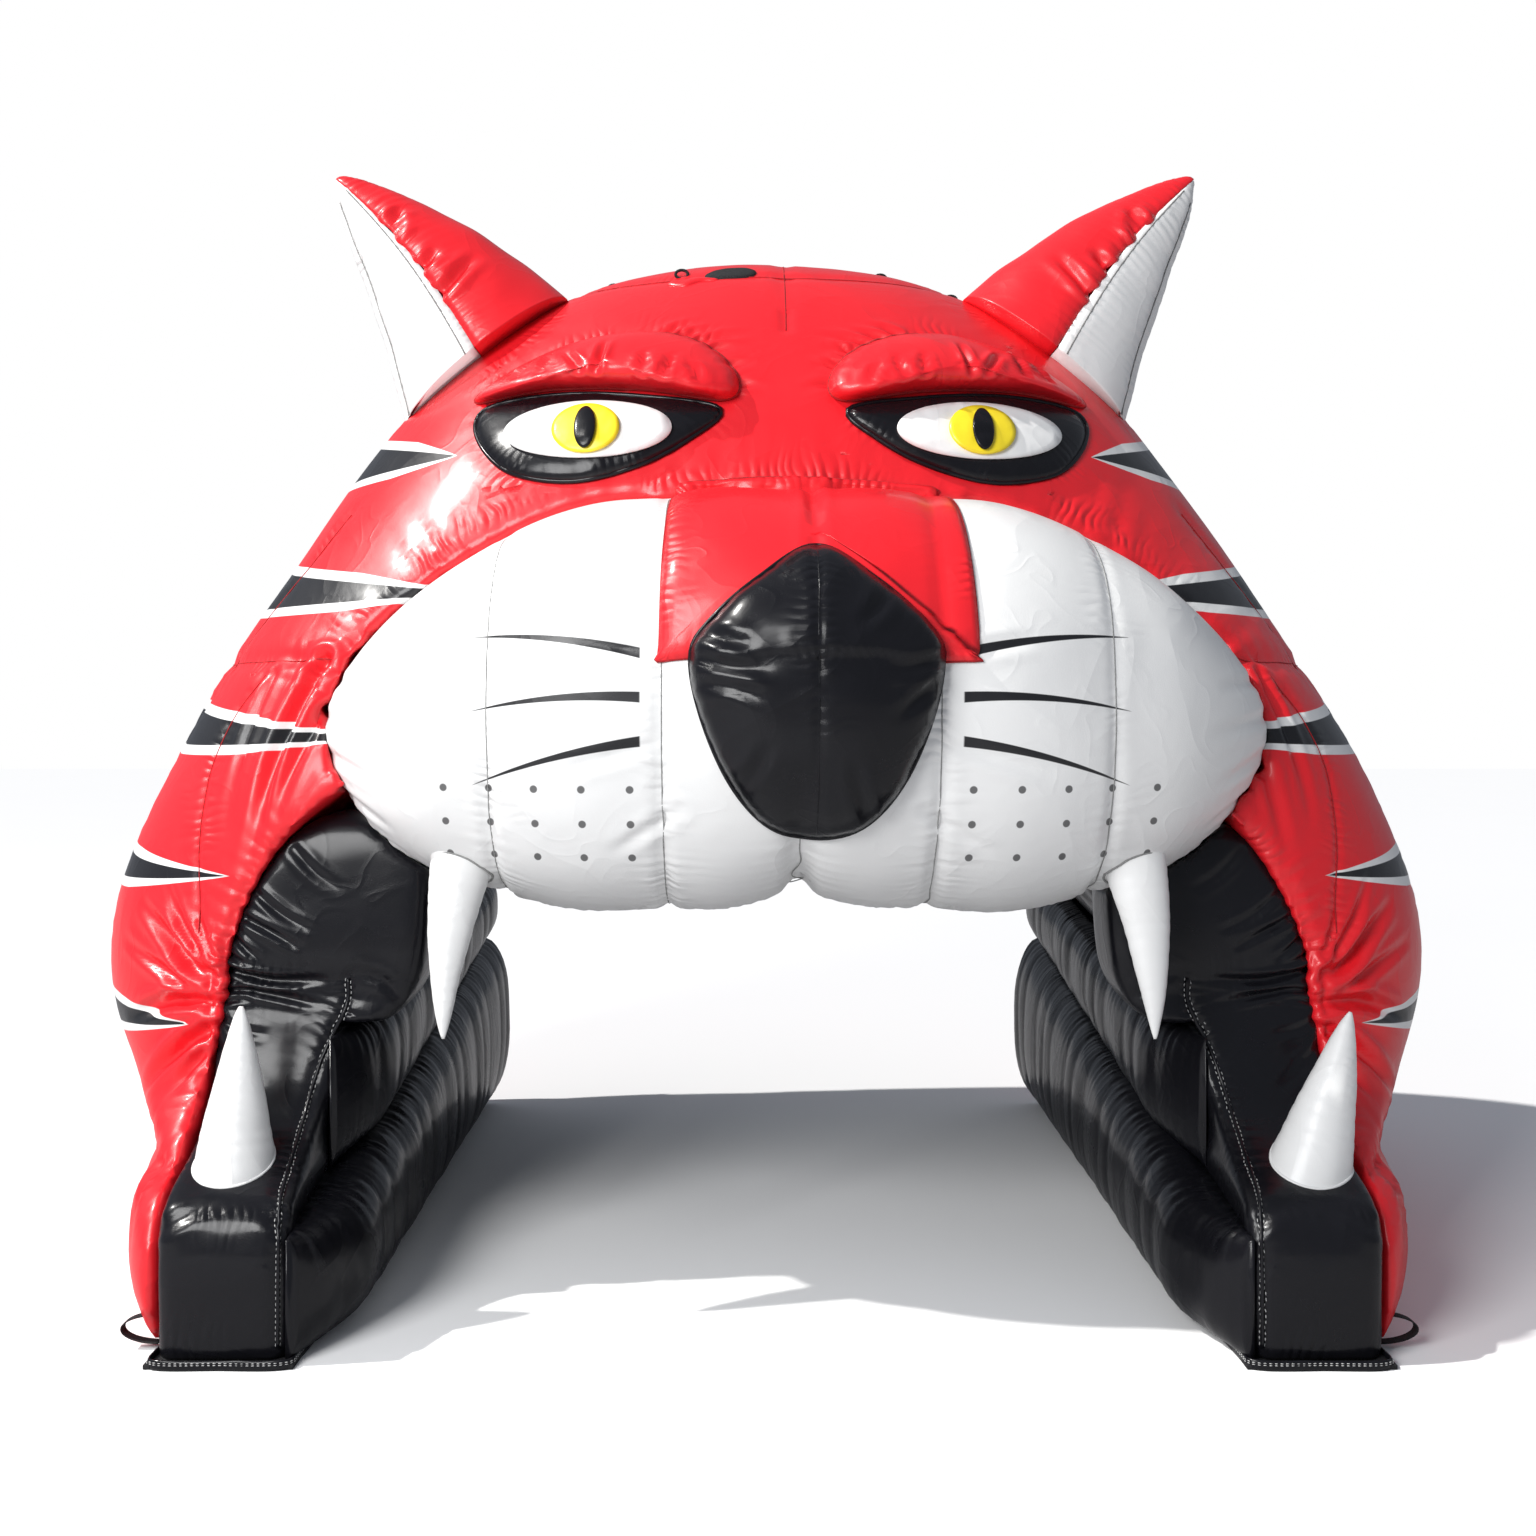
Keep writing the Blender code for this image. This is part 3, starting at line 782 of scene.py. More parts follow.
@dataclass
class Seam:
    """A seam that draws the skin in, and the folds that gather along it.

    strengths are shares of the full size along the line, the same at equal steps. A ridge rises
    on both sides of the line. A sewn one is also finished with a thread. A calm one, in metres,
    has fewer of the small puckers, as if they were that much further off.
    """

    line: Line
    depth: float = 0.03
    width: float = 0.04
    gather: float = 0.012
    pitch: float = 0.09
    reach: float = 0.12
    seed: float = 0.0
    strengths: Shares = (1.0, 1.0)
    ridge: float = 0.0
    sewn: bool = False
    calm: float = 0.0

    def nearest(self, places: Line) -> tuple[np.ndarray, np.ndarray]:
        """Each point's distance from the line, and the length along it there.

        Args:
            places: the points.

        Returns:
            Distances and lengths.
        """
        along = arcs(self.line)
        off = np.full(len(places), np.inf)
        arc = np.zeros(len(places))
        index = np.zeros(len(places), int)
        for start in range(0, len(places), 4000):
            part = places[start : start + 4000, None] - self.line[None]
            index[start : start + 4000] = (part**2).sum(2).argmin(1)
        for shift in (-1, 0):
            low = np.clip(index + shift, 0, len(self.line) - 2)
            step = self.line[low + 1] - self.line[low]
            lead = places - self.line[low]
            share = np.clip((lead * step).sum(1) / np.maximum((step**2).sum(1), 1e-12), 0, 1)
            away = np.linalg.norm(lead - share[:, None] * step, axis=1)
            arc = np.where(away < off, along[low] + share * (along[low + 1] - along[low]), arc)
            off = np.minimum(off, away)
        return off, arc

    def lift(self, places: Line, nearest: Line) -> np.ndarray:
        """How far the seam moves each point out of the skin.

        Args:
            places: the points.
            nearest: each point's distance from a seam, length along it and distance from the
                next seam so far; this seam is put in where it is nearer.

        Returns:
            The moves.
        """
        total = np.zeros(len(places))
        far = max(4.0 * max(self.width, self.reach), 0.3)
        low, top = self.line.min(0) - far, self.line.max(0) + far
        close = np.all((places > low) & (places < top), axis=1)
        if not close.any():
            return total
        off, arc = self.nearest(places[close])
        reach = self.reach * (1.0 + 0.45 * wobble(arc / self.pitch * 0.8, self.seed + 7.0))
        length = arcs(self.line)[-1]
        share = np.interp(arc, np.linspace(0, length, len(self.strengths)), self.strengths)
        valley = -self.depth * np.exp(-((off / self.width) ** 2))
        valley += self.ridge * np.exp(-((off / self.width - 1.9) ** 2))
        beside = (1.0 - np.exp(-((off / self.reach * 5.0) ** 2))) * np.exp(-((off / reach) ** 1.3))
        fold = 1.25 * self.gather * folds(arc, self.pitch, self.seed) * beside
        total[close] = share * (valley + fold)
        if self.sewn or self.gather:
            here = nearest[close]
            ends = np.minimum(arc, length - arc)
            off = off + self.calm + 2.0 * np.clip(SEAM_APART - ends, 0, None)
            first = (off < here[:, 0])[:, None]
            behind = np.minimum(here[:, 2], off)
            ahead = np.stack([off, arc, here[:, 0]], axis=1)
            nearest[close] = np.where(first, ahead, np.column_stack([here[:, :2], behind]))
        return total


def points_of(thing: Thing) -> Line:
    """An object's points.

    Args:
        thing: the object.

    Returns:
        The points.
    """
    flat = np.empty(len(thing.data.vertices) * 3)
    thing.data.vertices.foreach_get("co", flat)
    return flat.reshape(-1, 3)


def relieve(
    thing: Thing, seams: Sequence[Seam], slack: float, cloud: float, floor: float = -OUTSIDE
) -> Thing:
    """Draw seams and slack cloth into a skin.

    Args:
        thing: the object.
        seams: its seams and folds.
        slack: height of slow, uneven dents.
        cloud: size of a dent in metres.
        floor: points under this height stay level.

    Returns:
        The object.
    """
    places = points_of(thing)
    normals = np.empty(places.size)
    thing.data.vertices.foreach_get("normal", normals)
    lift = np.zeros(len(places))
    nearest = np.tile((OUTSIDE, 0.0, OUTSIDE), (len(places), 1))
    for seam in seams:
        lift += seam.lift(places, nearest)
    # the puckers of two seams fade out before they meet
    nearest[:, 0] += 2.0 * np.clip(SEAM_APART - nearest[:, 2] + nearest[:, 0], 0, None)
    for name, values in ((SEAM_OFF, nearest[:, 0]), (SEAM_ARC, nearest[:, 1])):
        thing.data.attributes.new(name, "FLOAT", "POINT").data.foreach_set("value", values)
    lift += slack * np.array([noise.noise(Vector(place) / cloud) for place in places])
    lift *= np.clip((places[:, 2] - floor) / 0.08, 0, 1)
    places += normals.reshape(-1, 3) * lift[:, None]
    thing.data.vertices.foreach_set("co", places.ravel())
    thing.data.update()
    return thing


class Surface:
    """Skins that lines and pads are laid on."""

    def __init__(self, *things: Thing) -> None:
        """Read the skins as they are now.

        Args:
            things: the skins.
        """
        bpy.context.view_layer.update()
        graph = bpy.context.evaluated_depsgraph_get()
        self.trees = [BVHTree.FromObject(thing, graph) for thing in things]

    def hit(self, origin: Vector, along: Vector) -> Vector | None:
        """The first point of the skins from an origin along a direction.

        Args:
            origin: where the ray starts.
            along: its direction.

        Returns:
            The point, or None for a miss.
        """
        found = [tree.ray_cast(origin, along) for tree in self.trees]
        struck = [result for result in found if result[0] is not None]
        return min(struck, key=lambda result: result[3])[0] if struck else None

    def hits(self, rays: Iterable[tuple[Vector, Vector]]) -> Line:
        """The first point of the skins along each ray; misses are left out."""
        found = [self.hit(*ray) for ray in rays]
        return np.array([hit for hit in found if hit is not None])

    def from_front(self, line: Line, fall: float = 0.0) -> Line:
        """Drop sides and heights backwards, with a fall per metre."""
        along, depth, rise = Vector((0, 1, -fall)).normalized(), TOE_Y - OUTSIDE, fall * OUTSIDE
        return self.hits((Vector((side, depth, high + rise)), along) for side, high in line)

    def from_side(self, side: Side, line: Line) -> Line:
        """Drop depths and heights onto one side from outside."""
        along, out = Vector((-side.value, 0, 0)), side.value * OUTSIDE
        return self.hits((Vector((out, depth + TOE_Y, high)), along) for depth, high in line)

    def from_above(self, line: Line) -> Line:
        """Drop sides and depths onto the top."""
        down = Vector((0, 0, -1))
        return self.hits((Vector((side, depth + TOE_Y, OUTSIDE)), down) for side, depth in line)

    def snap(self, line: Line) -> tuple[Line, Line]:
        """The nearest points of the skins, and their normals.

        Args:
            line: the points to bring to the skins.

        Returns:
            Points and normals.
        """
        found = []
        for place in line:
            near = (tree.find_nearest(place) for tree in self.trees)
            found.append(min(near, key=lambda result: result[3]))
        return np.array([near[0] for near in found]), np.array([near[1] for near in found])

    def around(self, centre: Sequence[float], upright: bool, start: float, end: float) -> Line:
        """The skin's section through a point inside it.

        Args:
            centre: the point inside.
            upright: from straight ahead and up, or else from the right and back.
            start: first angle in degrees.
            end: last angle in degrees.

        Returns:
            Points of the section.
        """
        axes = ((0, -1, 0), (0, 0, 1)) if upright else ((1, 0, 0), (0, 1, 0))
        first, second = map(Vector, axes)
        angles = np.radians(np.linspace(start, end, 160))
        return self.hits(
            (Vector(centre), first * math.cos(angle) + second * math.sin(angle)) for angle in angles
        )

    def crease(
        self,
        flat: Line,
        depth: float,
        width: float,
        shares: Shares,
        ridge: float,
        fall: float = 0.0,
    ) -> Seam:
        """A fold along a line seen from the front, found at a fall, with ridges beside it."""
        line = self.from_front(flat, fall)
        return Seam(line, depth, width, 0.0, strengths=shares, ridge=ridge)


def frames(line: Line) -> tuple[Line, Line]:
    """Two directions across a line at each point, turning as little as they can.

    Args:
        line: its points.

    Returns:
        Both directions, as unit vectors.
    """
    forward = np.gradient(line, axis=0)
    forward /= np.linalg.norm(forward, axis=1)[:, None]
    across = [Vector(forward[0]).orthogonal().normalized()]
    for step in forward[1:]:
        last = across[-1]
        step = Vector(step)
        across.append((last - step * last.dot(step)).normalized())
    across = np.array(across)
    return across, np.cross(forward, across)


def piping(name: str, line: Line, radius: float, sides: int = 8) -> Thing:
    """A round cord of cloth sewn along a line.

    Args:
        name: the object's name.
        line: its middle.
        radius: of the cord.
        sides: faces round it.

    Returns:
        The object.
    """
    first, second = frames(line)
    angles = turns(sides)[None, :, None]
    across = np.cos(angles) * first[:, None] + np.sin(angles) * second[:, None]
    return lofted(name, line[:, None] + across * radius)


def stitches(name: str, line: Line, out: Line, pitch: float, size: tuple[float, float]) -> Thing:
    """A row of stitches along a line.

    Args:
        name: the object's name.
        line: the row.
        out: the way out of the cloth at each point.
        pitch: from one stitch to the next.
        size: a stitch's length and thickness.

    Returns:
        The object.
    """
    along = arcs(line)
    shape = bmesh.new()
    for arc in np.arange(pitch / 2, along[-1], pitch):
        middle = Vector([np.interp(arc, along, line[:, axis]) for axis in range(3)])
        ahead = Vector([np.interp(arc + pitch / 4, along, line[:, axis]) for axis in range(3)])
        step = (ahead - middle).normalized()
        up = Vector([np.interp(arc, along, out[:, axis]) for axis in range(3)])
        wide = step.cross(up).normalized()
        half = (size[0] / 2, size[1] / 2, size[1] / 2)
        turn = Matrix((step, wide, wide.cross(step))).transposed().to_4x4()
        place = Matrix.Translation(middle) @ turn @ Matrix.Diagonal((*half, 1.0))
        bmesh.ops.create_icosphere(shape, subdivisions=1, radius=1.0, matrix=place)
    return mesh_of(name, shape)


def joined(name: str, things: Sequence[Thing]) -> Thing:
    """Several objects' meshes as one object.

    Args:
        name: the new object's name.
        things: the objects, which are removed.

    Returns:
        The object.
    """
    shape = bmesh.new()
    for thing in things:
        shape.from_mesh(thing.data)
    discard(*things)
    return mesh_of(name, shape)


def threads(skin: Thing, seams: Sequence[Seam], radius: float) -> Thing:
    """Thin sewn threads in a skin's seams, as one object.

    Args:
        skin: the finished skin.
        seams: its seams; only the sewn ones are followed.
        radius: of a thread.

    Returns:
        The object.
    """
    under = Surface(skin)
    cords = []
    for seam in seams:
        if seam.sewn:
            places, normals = under.snap(stepped(seam.line, 0.03))
            for _ in range(3):
                places[1:-1] = (places[:-2] + 2 * places[1:-1] + places[2:]) / 4
            cords.append(piping("thread", places + normals * radius * 0.3, radius, 5))
    return joined(skin.name.replace("_skin", "_thread"), cords)


def stitched(
    name: str, line: Line, under: Surface, apart: float, pitch: float, size: tuple[float, float]
) -> Thing:
    """Two rows of stitches along a line on a skin.

    Args:
        name: the object's name.
        line: between the rows.
        under: the skin.
        apart: from one row to the other.
        pitch: from one stitch to the next.
        size: a stitch's length and thickness.

    Returns:
        The object.
    """
    line = stepped(line, 0.015)
    forward = np.gradient(line, axis=0)
    _, normals = under.snap(line)
    across = np.cross(forward, normals)
    across /= np.linalg.norm(across, axis=1)[:, None]
    rows = []
    for turn in (-0.5, 0.5):
        places, out = under.snap(line + across * apart * turn + normals * 0.01)
        rows.append(stitches("row", places + out * size[1] * 0.3, out, pitch, size))
    return joined(name, rows)


@dataclass
class Workshop:
    """Dresses finished pieces and hands them to the frame."""

    finishes: dict[str, bpy.types.Material] = field(default_factory=dict)
    slots: dict[str, str] = field(default_factory=dict)
    count: int = 0

    def finish(self, key: str, made: bpy.types.Material, slot: str) -> None:
        """Keep a finish and the slot that it belongs to."""
        self.finishes[key], self.slots[key] = made, slot

    def fit(self, thing: Thing, finish: str, *nodes: str) -> Thing:
        """Give a piece its finish and its place on the frame.

        Args:
            thing: the piece.
            finish: key of its finish.
            nodes: solids that it stands for.

        Returns:
            The piece.
        """
        thing.data.materials.clear()
        thing.data.materials.append(self.finishes[finish])
        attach(thing, "root")
        if nodes:
            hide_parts(*nodes)
        faces = sum(len(face.vertices) - 2 for face in thing.data.polygons)
        self.count += faces
        log.info("%s: %d triangles", thing.name, faces)
        return thing

    def pad(self, thing: Thing, finish: str, fill: float = 0.9) -> Thing:
        """Fit an air-filled skin, which stands for the solid that it is named after.

        Args:
            thing: the skin.
            finish: key of its finish.
            fill: how tight it is; not used.

        Returns:
            The skin.
        """
        self.fit(thing, finish, thing.name.removesuffix("_skin"))
        return thing


# --- Air chambers ---


def seam_height(seam: int, depth: float) -> float:
    """How high one of the tubes' long seams is at a depth."""
    high, rise = TUBE_SEAMS[seam]
    return high + rise * depth


def arch_line(half: float, high: float) -> Line:
    """An arch from right foot to left foot, as side and height."""
    across, up = power_point(math.pi * np.arange(ARCH_STEPS + 1) / ARCH_STEPS, ARCH_POWER)
    return np.stack([half * across, np.maximum(high * up, 0.0)], axis=1)


def plan_rings(rows: Sequence[Sequence[float]], around: int, side: int = 1) -> Line:
    """Flat superellipses.

    Args:
        rows: height, left, right, front, back and power of each.
        around: points round each.
        side: -1 to mirror them.

    Returns:
        The rings.
    """
    angles = turns(around, math.pi / around)
    rings = []
    for high, left, right, front, back, power in rows:
        across, along = power_point(angles, power)
        sides = (left + right) / 2 + (right - left) / 2 * across
        depths = (front + back) / 2 + (back - front) / 2 * along
        rings.append(in_place(side * sides, depths, max(high, FOOT)))
    return np.array(rings)


@dataclass
class Muzzle:
    """The white muzzle: two lobes over the mouth, in upright panels."""

    cell: float = 0.021
    around: int = 10
    power: float = 2.3
    # side, top, bottom, front_depth, back_depth
    rows: tuple[tuple[float, ...], ...] = (
        (0.00, 3.64, 1.78, -0.02, 1.78),
        (0.12, 3.65, 1.72, -0.02, 1.78),
        (0.36, 3.67, 1.66, -0.01, 1.78),
        (0.60, 3.63, 1.69, 0.05, 1.78),
        (0.84, 3.64, 1.65, 0.04, 1.78),
        (1.14, 3.56, 1.68, 0.12, 1.78),
        (1.38, 3.43, 1.77, 0.24, 1.76),
        (1.60, 3.31, 1.81, 0.29, 1.75),
        (1.86, 3.10, 1.96, 0.48, 1.70),
        (2.06, 2.87, 2.20, 0.70, 1.58),
        (2.17, 2.64, 2.42, 0.92, 1.38),
    )
    seat: tuple[float, float] = (-1.2, 2.65)  # depth and height that the seams run round
    panel_seams: tuple[float, ...] = (-1.31, -0.57, 0.57, 1.31)
    panel_draw: Draw = (0.022, 0.034, 0.010, 0.055, 0.075)
    middle_draw: Draw = (0.05, 0.055, 0.012, 0.06, 0.10)
    lower_draw: Draw = (0.016, 0.03, 0.010, 0.085, 0.10)
    upper_draw: Draw = (0.0, 0.03, 0.004, 0.10, 0.08)
    # side and height of each wrinkle's two ends
    wrinkles: tuple[Corners, ...] = (
        ((2.13, 2.76), (1.80, 2.72)),
        ((2.15, 2.60), (1.74, 2.52)),
        ((2.13, 2.44), (1.78, 2.30)),
        ((2.04, 2.26), (1.76, 2.10)),
        ((1.94, 2.10), (1.72, 1.98)),
        ((0.62, 2.48), (1.05, 2.36)),
        ((0.60, 2.86), (0.98, 2.92)),
        ((0.50, 2.22), (0.80, 2.02)),
    )

    def lobes(self) -> list[tuple[float, ...]]:
        """The rows of both lobes, from left to right."""
        return [(-side, *row) for side, *row in reversed(self.rows[1:])] + list(self.rows)

    def blank(self) -> Thing:
        """The smooth, full shape.

        Returns:
            The skin.
        """
        angles = turns(self.around, math.pi / self.around)
        along, up = power_point(angles, self.power)
        rings = []
        for side, top, bottom, front, back in self.lobes():
            depths = (front + back) / 2 + along * (back - front) / 2
            heights = (top + bottom) / 2 + up * (top - bottom) / 2
            rings.append(in_place(side + MUZZLE_LEAN, depths, heights))
        return softened(lofted("muzzle_skin", np.array(rings)), 4)

    def outline(self, grow: float) -> Line:
        """Its upper edge as seen from the front, moved out by a little.

        Args:
            grow: how far it is moved out.

        Returns:
            Sides and heights.
        """
        line = np.array([row[:2] for row in self.lobes()])
        line[:, 0] = line[:, 0] * (1 + grow / 2) + MUZZLE_LEAN
        line[:, 1] += grow
        return curve(line, 0.05)

    def build(self, shape: Thing) -> tuple[Thing, Thing]:
        """Draw the seams into the full shape; gives the skin and its threads.

        Args:
            shape: the full shape.

        Returns:
            Skin and threads.
        """
        skin = even(shape, self.cell, 3)
        under = Surface(skin)
        seams = []
        shares = (0.8, 1.2, 1.0, 0.6, 0.5, 0.6)
        for number, side in enumerate(self.panel_seams):
            line = under.around((side + MUZZLE_LEAN, *self.seat), True, -125, 85)
            seams.append(Seam(line, *self.panel_draw, seed=number, strengths=shares, sewn=True))
        shares = (1.0, 1.2, 0.3)
        line = under.around((MUZZLE_LEAN, *self.seat), True, -125, -20)
        seams.append(Seam(line, *self.middle_draw, seed=5.0, strengths=shares, sewn=True))
        edge = [(side + MUZZLE_LEAN, low + 0.075) for side, _, low, _, _ in self.lobes()[1:-1]]
        seams.append(Seam(under.from_front(curve(edge, 0.03)), *self.lower_draw, seed=2.5))
        for side in Side:
            for ends in self.wrinkles:
                flat = stepped(mirrored(ends, side, MUZZLE_LEAN), 0.04)
                seams.append(under.crease(flat, 0.014, 0.028, (0.5, 1.0, 0.7, 0.0), 0.006))
        edge = under.from_front(self.outline(-0.02))
        seams.append(Seam(edge, *self.upper_draw, seed=6.5))
        relieve(skin, seams, slack=0.008, cloud=0.5)
        return skin, threads(skin, seams, THREAD)


@dataclass
class Jaw:
    """One black foot with its toe, and the jaw that rises from it."""

    side: Side
    cell: float = 0.024
    around: int = 12
    power: float = 9.0
    # height, outer, inner, front_depth
    rows: tuple[tuple[float, ...], ...] = (
        (0.00, 2.489, 1.92, 0.02),
        (0.18, 2.489, 1.90, 0.00),
        (0.46, 2.489, 1.90, 0.00),
        (0.64, 2.489, 1.93, 0.06),
        (0.72, 2.47, 1.95, 0.34),
        (0.86, 2.47, 1.95, 0.62),
        (1.08, 2.48, 1.90, 0.74),
        (1.24, 2.48, 1.68, 0.77),
        (1.36, 2.47, 1.58, 0.82),
        (1.50, 2.46, 1.53, 0.79),
        (1.85, 2.34, 1.52, 0.82),
        (2.20, 2.08, 1.52, 0.86),
    )
    # side and height of the seam up the inner front edge
    edge: Corners = (
        (1.972, 0.07), (1.968, 0.30), (1.975, 0.54), (2.02, 0.80), (1.99, 1.05),
        (1.89, 1.30), (1.885, 1.42),
    )
    edge_draw: Draw = (0.010, 0.025, 0.010, 0.05, 0.06)
    # height, depth, gather and seed of the level seams
    levels: tuple[tuple[float, ...], ...] = (
        (0.60, 0.0, 0.004, 2.0),
        (1.42, 0.014, 0.008, 4.0),
        (0.07, 0.0, 0.006, 6.0),
    )
    pleat_zone: Zone = Zone((1.85, OUTSIDE), (1.08, 2.05), 1.2)
    pleats: Folds = (
        (((2.14, 2.00), (2.03, 1.89), (1.90, 1.81)), 0.009, 0.022),
        (((2.30, 1.80), (2.17, 1.70), (2.02, 1.63)), 0.012, 0.018),
        (((2.35, 1.69), (2.23, 1.63), (2.08, 1.55)), 0.017, 0.017),
        (((2.40, 1.60), (2.34, 1.55), (2.27, 1.50)), 0.015, 0.014),
        (((2.43, 1.53), (2.38, 1.50), (2.31, 1.48)), 0.012, 0.012),
        (((2.45, 1.46), (2.33, 1.43), (2.18, 1.41), (1.96, 1.42)), 0.024, 0.018),
        (((2.45, 1.41), (2.33, 1.40), (2.18, 1.39)), 0.012, 0.013),
        (((2.45, 1.36), (2.36, 1.37), (2.27, 1.36), (1.98, 1.30)), 0.020, 0.017),
        (((2.45, 1.31), (2.38, 1.33), (2.28, 1.33)), 0.011, 0.013),
        (((2.45, 1.24), (2.36, 1.20), (2.22, 1.18)), 0.010, 0.018),
        (((2.45, 1.12), (2.34, 1.02), (2.22, 0.94)), 0.010, 0.022),
        (((1.66, 1.34), (1.74, 1.42), (1.90, 1.46)), 0.014, 0.022),
        (((2.45, 0.54), (2.34, 0.60), (2.22, 0.62)), 0.012, 0.030),
        (((1.95, 0.54), (2.02, 0.60), (2.12, 0.62)), 0.012, 0.030),
    )

    def blank(self, muzzle: Thing) -> Thing:
        """The smooth, full shape, clear of the tubes and the muzzle.

        Args:
            muzzle: the muzzle's full shape.

        Returns:
            The skin.
        """
        rows = [
            (high, inner, outer, front, VAULT_FRONT, self.power)
            for high, outer, inner, front in self.rows
        ]
        rings = plan_rings(rows, self.around, self.side.value)
        shape = lofted(f"jaw_{self.side.word}_skin", rings, sharp_below=FOOT + 0.001)
        softened(shape, 3)
        walls = sorted((self.side.value * TUBE_OUTER, 0.0))
        low = Vector((walls[0], -OUTSIDE, -OUTSIDE))
        high = Vector((walls[1], OUTSIDE, seam_height(2, VAULT_FRONT)))
        cut(shape, mesh_of("cut_block", box(low, high)))
        return cut(shape, swollen(muzzle, CLEARANCE))

    def build(self, shape: Thing) -> tuple[Thing, Line]:
        """Draw the seams in; also gives the line of the stitched edge.

        Args:
            shape: the full shape.

        Returns:
            Skin and line.
        """
        skin = finer(even(shape, self.cell, 3), self.pleat_zone)
        under = Surface(skin)
        edge = under.from_front(curve(mirrored(self.edge, self.side), 0.02))
        seams = [Seam(edge, *self.edge_draw, seed=1.0, strengths=(1.4, 0.8, 1.0, 0.8, 1.0))]
        for high, depth, gather, seed in self.levels:
            flat = mirrored([(side, high) for side in np.linspace(1.90, 2.46, 30)], self.side)
            draw = (depth, 0.035, gather, 0.08, 0.10)
            line = under.from_front(flat)
            seams.append(Seam(line, *draw, seed=seed, strengths=(0.2, 0.6, 1.0)))
        for corners, depth, width in self.pleats:
            flat = curve(mirrored(corners, self.side), 0.015)
            seams.append(under.crease(flat, depth, width, (0.8, 1.0, 0.6, 0.0), depth * 0.5))
        return relieve(skin, seams, slack=0.006, cloud=0.3, floor=FOOT), edge


